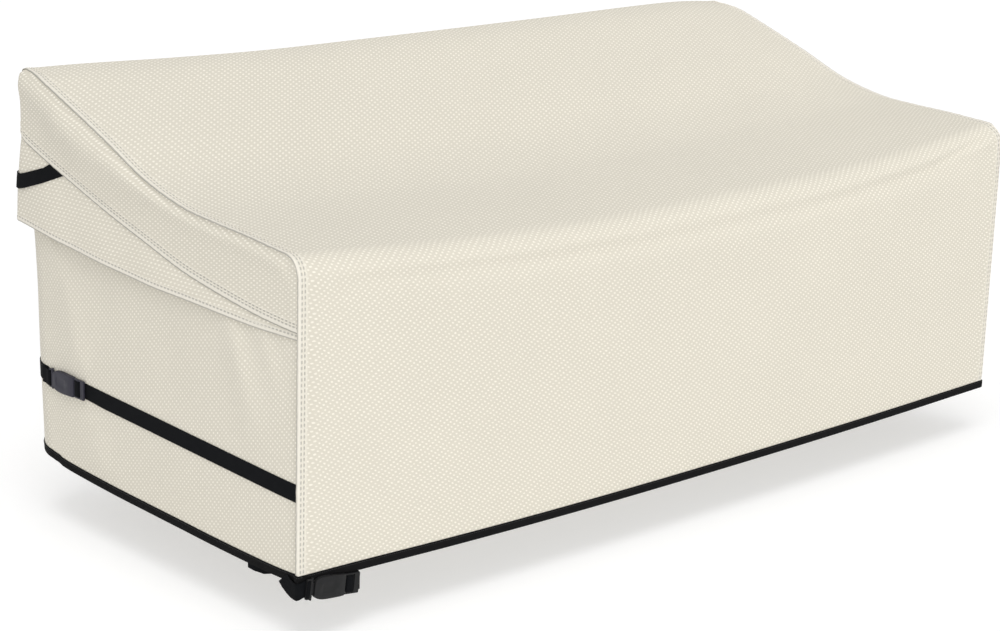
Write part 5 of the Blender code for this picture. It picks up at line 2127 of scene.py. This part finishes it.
@dataclass
class Buckle:
    """A side release buckle, closed: its male plate and its body with a ladder end."""

    prefix: str
    place: Matrix
    bevel: float = 0.0006
    slot_reach: float = 0.005           # faces this near the middle line are cut for the slots
    body_shares: tuple[float, ...] = (-1.0, -0.86, -0.45, 0.0, 0.45, 0.86, 1.0)
    body_bevel: tuple[float, int, float] = (0.0011, 3, 50.0)
    mid_height: float = 0.005           # the body's upper face lies above this
    crown: float = 0.0012
    crowns: tuple[Four, ...] = (
        # from x, to x, half width, how far the upper face is moved up
        (-0.038, 0.020, 0.012, 0.0010), (-0.030, 0.010, 0.012, 0.0002), (0.027, 0.060, 0.060, -0.0016),
    )
    window: Triple = (-0.034, -0.004, 0.00001)      # from x, to x, smallest face
    window_edge: float = 0.0010
    arm_window: float = 0.0012
    dish: Four = (-0.028, 0.003, 0.0095, 0.008)    # x, x, half width, z
    dish_edge: float = 0.0012
    dish_depth: float = 0.0005
    male_columns: tuple[Pair, ...] = (
        # x, half width
        (-0.0600, 0.0182), (-0.0590, 0.0188), (-0.0560, 0.0189), (-0.0515, 0.0190), (-0.0500, 0.0190),
        (-0.0498, 0.0210), (-0.0470, 0.0210), (-0.0468, 0.0105), (-0.0434, 0.0105),
    )
    male_slot: Pair = (-0.0560, -0.0515)
    body_columns: tuple[Pair, ...] = (
        (-0.0430, 0.0125), (-0.0415, 0.0146), (-0.0400, 0.0160), (-0.0365, 0.0180), (-0.0330, 0.0194),
        (-0.0285, 0.0205), (-0.0240, 0.0212), (-0.0180, 0.0215), (-0.0120, 0.0216), (-0.0040, 0.0215),
        (0.0040, 0.0212), (0.0160, 0.0208), (0.0280, 0.0203),
    )
    ladder_columns: tuple[Pair, ...] = (
        (0.0200, 0.0196), (0.0300, 0.0196), (0.0350, 0.0196), (0.0450, 0.0196), (0.0500, 0.0196),
        (0.0600, 0.0196), (0.0620, 0.0184),
    )
    ladder_slots: tuple[Pair, ...] = ((0.0300, 0.0350), (0.0450, 0.0500))

    def plate(self, name: str, columns: Sequence[Pair],
              slots: Sequence[Pair]) -> Object:
        """A flat moulded plate with slots cut through.

        Args:
            name: the plate's name.
            columns: (x, half width) of its outline.
            slots: (start, end) of each slot along x.

        Returns:
            The plate, in the buckle's own axes.
        """
        bench = Bench(len(columns) - 1, 3, name)
        inner = [min(SLOT_HALF, half * 0.9) for _, half in columns]
        bench.place_grid([(x, (-half, -near, near, half)) for (x, half), near in zip(columns, inner)])
        bench.cut_faces(lambda f: abs(f.calc_center_median().y) < self.slot_reach and any(
            low < f.calc_center_median().x < high for low, high in slots))
        bench.thicken(PLATE_THICK, PLATE_BOTTOM)
        bench.bevel_sharp(self.bevel)
        return bench.done()

    def body(self) -> Object:
        """The moulded body: crowned, waisted, with a sunk middle and a window for each arm."""
        columns, shares = self.body_columns, self.body_shares
        bench = Bench(len(columns) - 1, len(shares) - 1, self.prefix + "_body")
        bench.place_grid([(x, tuple(half * share for share in shares)) for x, half in columns])
        bench.thicken(BODY_THICK - self.crown, BODY_BOTTOM)
        for start, end, half, rise in self.crowns:
            bench.pick("VERT", lambda v: v.co.z > self.mid_height and start < v.co.x < end
                       and abs(v.co.y) < half)
            bench.move((0.0, 0.0, rise))
        bench.bevel_sharp(*self.body_bevel)
        start, end, smallest = self.window
        bench.pick("FACE", lambda f: abs(f.normal.y) > 0.8 and start < f.calc_center_median().x < end
                   and f.calc_area() > smallest)
        bench.inset(self.window_edge)
        bpy.ops.transform.shrink_fatten(value=-self.arm_window)
        start, end, half, above = self.dish
        bench.pick("FACE", lambda f: f.normal.z > 0.9 and abs(f.calc_center_median().y) < half
                   and start < f.calc_center_median().x < end and f.calc_center_median().z > above)
        bench.inset(self.dish_edge)
        bench.move((0.0, 0.0, -self.dish_depth))
        return bench.done()

    def settle(self, piece: Object, finish: Material, node: str) -> Object:
        """Moves a half to its place in the row's frame and dresses it.

        Args:
            piece: the half in the buckle's own axes.
            finish: its material.
            node: the solid that it stands for.

        Returns:
            The half.
        """
        shift = Matrix.Translation(Vector(to_row(np.zeros(3))))
        piece.data.transform(shift @ self.place)
        piece.matrix_world = Matrix.Identity(4)
        piece.data.materials.clear()
        piece.data.materials.append(finish)
        finish_piece(piece, PLASTIC_SMOOTH)
        return enter_piece(piece, Slot.PLASTIC, node)

    def make(self, finish: Material) -> list[Object]:
        """Builds both halves.

        Args:
            finish: the plastic's material.

        Returns:
            The male and the female half.
        """
        male = self.plate(self.prefix + "_male_plate", self.male_columns, (self.male_slot,))
        female = self.body()
        ladder = self.plate(self.prefix + "_ladder", self.ladder_columns, self.ladder_slots)
        union = female.modifiers.new("ladder", "BOOLEAN")
        union.operation = "UNION"
        union.object = ladder
        bpy.context.view_layer.objects.active = female
        bpy.ops.object.modifier_apply(modifier=union.name)
        bpy.data.objects.remove(ladder)
        female.name = self.prefix + "_release_body"
        return [self.settle(male, finish, self.prefix + "_buckle_male"),
                self.settle(female, finish, self.prefix + "_buckle_female")]


# ---- studio ----------------------------------------------------------------------------------------
@dataclass
class Studio:
    """Camera, light and floor."""

    azimuth: float = -43.0958
    elevation: float = 15.5120
    roll: float = 1.7091
    lens: float = 88.50
    camera_at: Triple = (-3.5314, -4.0849, 0.8589)
    world_strength: float = 0.575
    lamps: tuple[tuple[str, Triple, float, float], ...] = (
        # name, direction it shines from, strength, angle
        ("top_light", (-0.19, -0.20, 0.96), 1.06, 32.0),
        ("front_light", (-0.30, -0.94, 0.16), 1.24, 40.0),
    )
    near_light_at: Triple = (-2.20, -1.23, -0.42)
    near_light_towards: Triple = (-1.00, -0.76, -0.45)
    near_light_power: float = 1.8
    near_light_size: float = 0.9
    foot_clearance: float = 0.110   # height of the hem above the floor
    floor_size: float = 80.0
    floor_albedo: float = 0.55
    floor_light: float = 0.37       # the floor's own light, as a white sweep gives it
    floor_seen: float = 0.14        # added where the camera sees the floor, so that it is white there
    floor_haze: float = 0.01        # how uneven its tone is
    floor_haze_scale: float = 0.8

    def camera(self) -> None:
        """Puts the camera where the photograph was taken from."""
        a, e, r = (math.radians(angle) for angle in (self.azimuth, self.elevation, self.roll))
        back = Vector((math.sin(a) * math.cos(e), -math.cos(a) * math.cos(e), math.sin(e)))
        level = Vector((math.cos(a), math.sin(a), 0.0))
        upright = back.cross(level)
        right = level * math.cos(r) + upright * math.sin(r)
        up = upright * math.cos(r) - level * math.sin(r)
        data = bpy.data.cameras.new("viewpoint")
        data.lens = self.lens
        data.sensor_width = 36.0
        data.sensor_fit = "HORIZONTAL"
        camera = new_object("viewpoint", data)
        axes = Matrix((right, up, back)).transposed().to_4x4()
        camera.matrix_world = Matrix.Translation(self.camera_at) @ axes
        bpy.context.scene.camera = camera

    def light(self) -> None:
        """Adds the even white surround and the broad soft lights."""
        bpy.context.scene.view_settings.view_transform = "Standard"
        world = bpy.data.worlds.new("surround")
        world.use_nodes = True
        surround = world.node_tree.nodes["Background"]
        surround.inputs["Color"].default_value = (1.0, 1.0, 1.0, 1.0)
        surround.inputs["Strength"].default_value = self.world_strength
        bpy.context.scene.world = world
        for name, shines_from, strength, angle in self.lamps:
            data = bpy.data.lights.new(name, "SUN")
            data.energy = strength
            data.angle = math.radians(angle)
            lamp = new_object(name, data)
            lamp.rotation_euler = Vector(shines_from).to_track_quat("Z", "Y").to_euler()

    def near_light(self) -> None:
        """Adds the small soft light beside the front of the left side."""
        data = bpy.data.lights.new("near_light", "AREA")
        data.energy = self.near_light_power
        data.size = self.near_light_size
        lamp = new_object("near_light", data)
        lamp.location = self.near_light_at
        shines_from = Vector(self.near_light_at) - Vector(self.near_light_towards)
        lamp.rotation_euler = shines_from.to_track_quat("Z", "Y").to_euler()
        lamp.visible_camera = False

    def floor(self) -> None:
        """Lays the pale floor below the cover, at the height of the ground."""
        bpy.ops.object.select_all(action="DESELECT")
        height = float(to_row(np.array((0.0, 0.0, -self.foot_clearance)))[2])
        bpy.ops.mesh.primitive_plane_add(size=self.floor_size, location=(0.0, 0.0, height))
        floor = bpy.context.active_object
        floor.name = "floor"
        bpy.ops.object.transform_apply(location=True)
        material, nodes, shader = start_material("pale_floor")
        haze = nodes.noise(nodes.add("TexCoord").outputs["Object"], self.floor_haze_scale)
        tone = nodes.line(haze, self.floor_haze, self.floor_albedo)
        tone = nodes.add("CombineColor", Red=tone, Green=tone, Blue=tone).outputs[0]
        nodes.put(shader.inputs["Base Color"], tone)
        shader.inputs["Roughness"].default_value = 0.9
        shader.inputs["Specular IOR Level"].default_value = 0.1
        shader.inputs["Emission Color"].default_value = (1.0, 1.0, 1.0, 1.0)
        seen = nodes.add("LightPath").outputs["Is Camera Ray"]
        glow = nodes.line(seen, self.floor_seen, self.floor_light)
        nodes.put(shader.inputs["Emission Strength"], glow)
        floor.data.materials.append(material)

    def make(self) -> None:
        """Sets the whole studio up."""
        self.camera()
        self.light()
        self.near_light()
        self.floor()


# ---- the whole cover ---------------------------------------------------------------------------------
@dataclass
class Cover:
    """The cover's pieces, built in the order in which they are sewn and fitted."""

    finishes: Finishes
    seams: Seams = field(default_factory=Seams)
    pieces: dict[str, Object] = field(default_factory=dict)

    def cloth(self) -> None:
        """Builds the panels, the gores and the flaps."""
        found = self.pieces
        found["panel"] = CentrePanel().make(self.finishes, self.seams)
        stations = side_stations()
        for side, hand in SIDES:
            found["gore_" + hand] = SideGore(side, hand).make(self.finishes, self.seams)
            flap = VentFlap("vent_flap_" + hand, side, stations)
            found["flap_" + hand] = flap.make(self.finishes, self.seams)
            lower = LowerPanel("lower_panel_" + hand, side, stations)
            found["lower_" + hand] = lower.make(self.finishes)
        found["flap_back"] = VentFlap("vent_flap_back", 1, back_stations()).make(self.finishes, self.seams)
        found["lower_back"] = LowerPanel("lower_panel_back", 1, back_stations()).make(self.finishes)
        found["binding"] = HemBinding().make(self.finishes, self.seams)

    def stitching(self) -> None:
        """Makes the stitches of each kind one piece."""
        rows = (("seam_stitches", self.seams.sand, self.finishes.sand_thread, Slot.FABRIC),
                ("flap_stitches", self.seams.free, self.finishes.sand_thread, Slot.FABRIC),
                ("binding_stitches", self.seams.black, self.finishes.black_thread, Slot.BINDING))
        for name, line, finish, slot in rows:
            self.pieces[name] = enter_piece(line.build(name, finish), slot)

    def webbing(self) -> None:
        """Builds the belt, the handles and the foot strap with their buckles."""
        found = self.pieces
        found["belt_front"], found["belt_back"] = Belt().make(self.finishes)
        for side, hand in SIDES:
            found["handle_" + hand] = CornerHandle(side, hand).make(self.finishes)
        found["foot_front"], found["foot_back"] = FootStrap().make(self.finishes)
        Buckle("belt", belt_buckle_place()).make(self.finishes.grey_plastic)
        Buckle("foot", foot_buckle_place()).make(self.finishes.dark_plastic)


def main() -> None:
    """Builds the studio and the cover and reports each piece."""
    logging.basicConfig(level=logging.INFO, format="%(name)s %(message)s")
    Studio().make()
    cover = Cover(Finishes())
    cover.cloth()
    cover.stitching()
    cover.webbing()


if __name__ == "__main__":
    main()
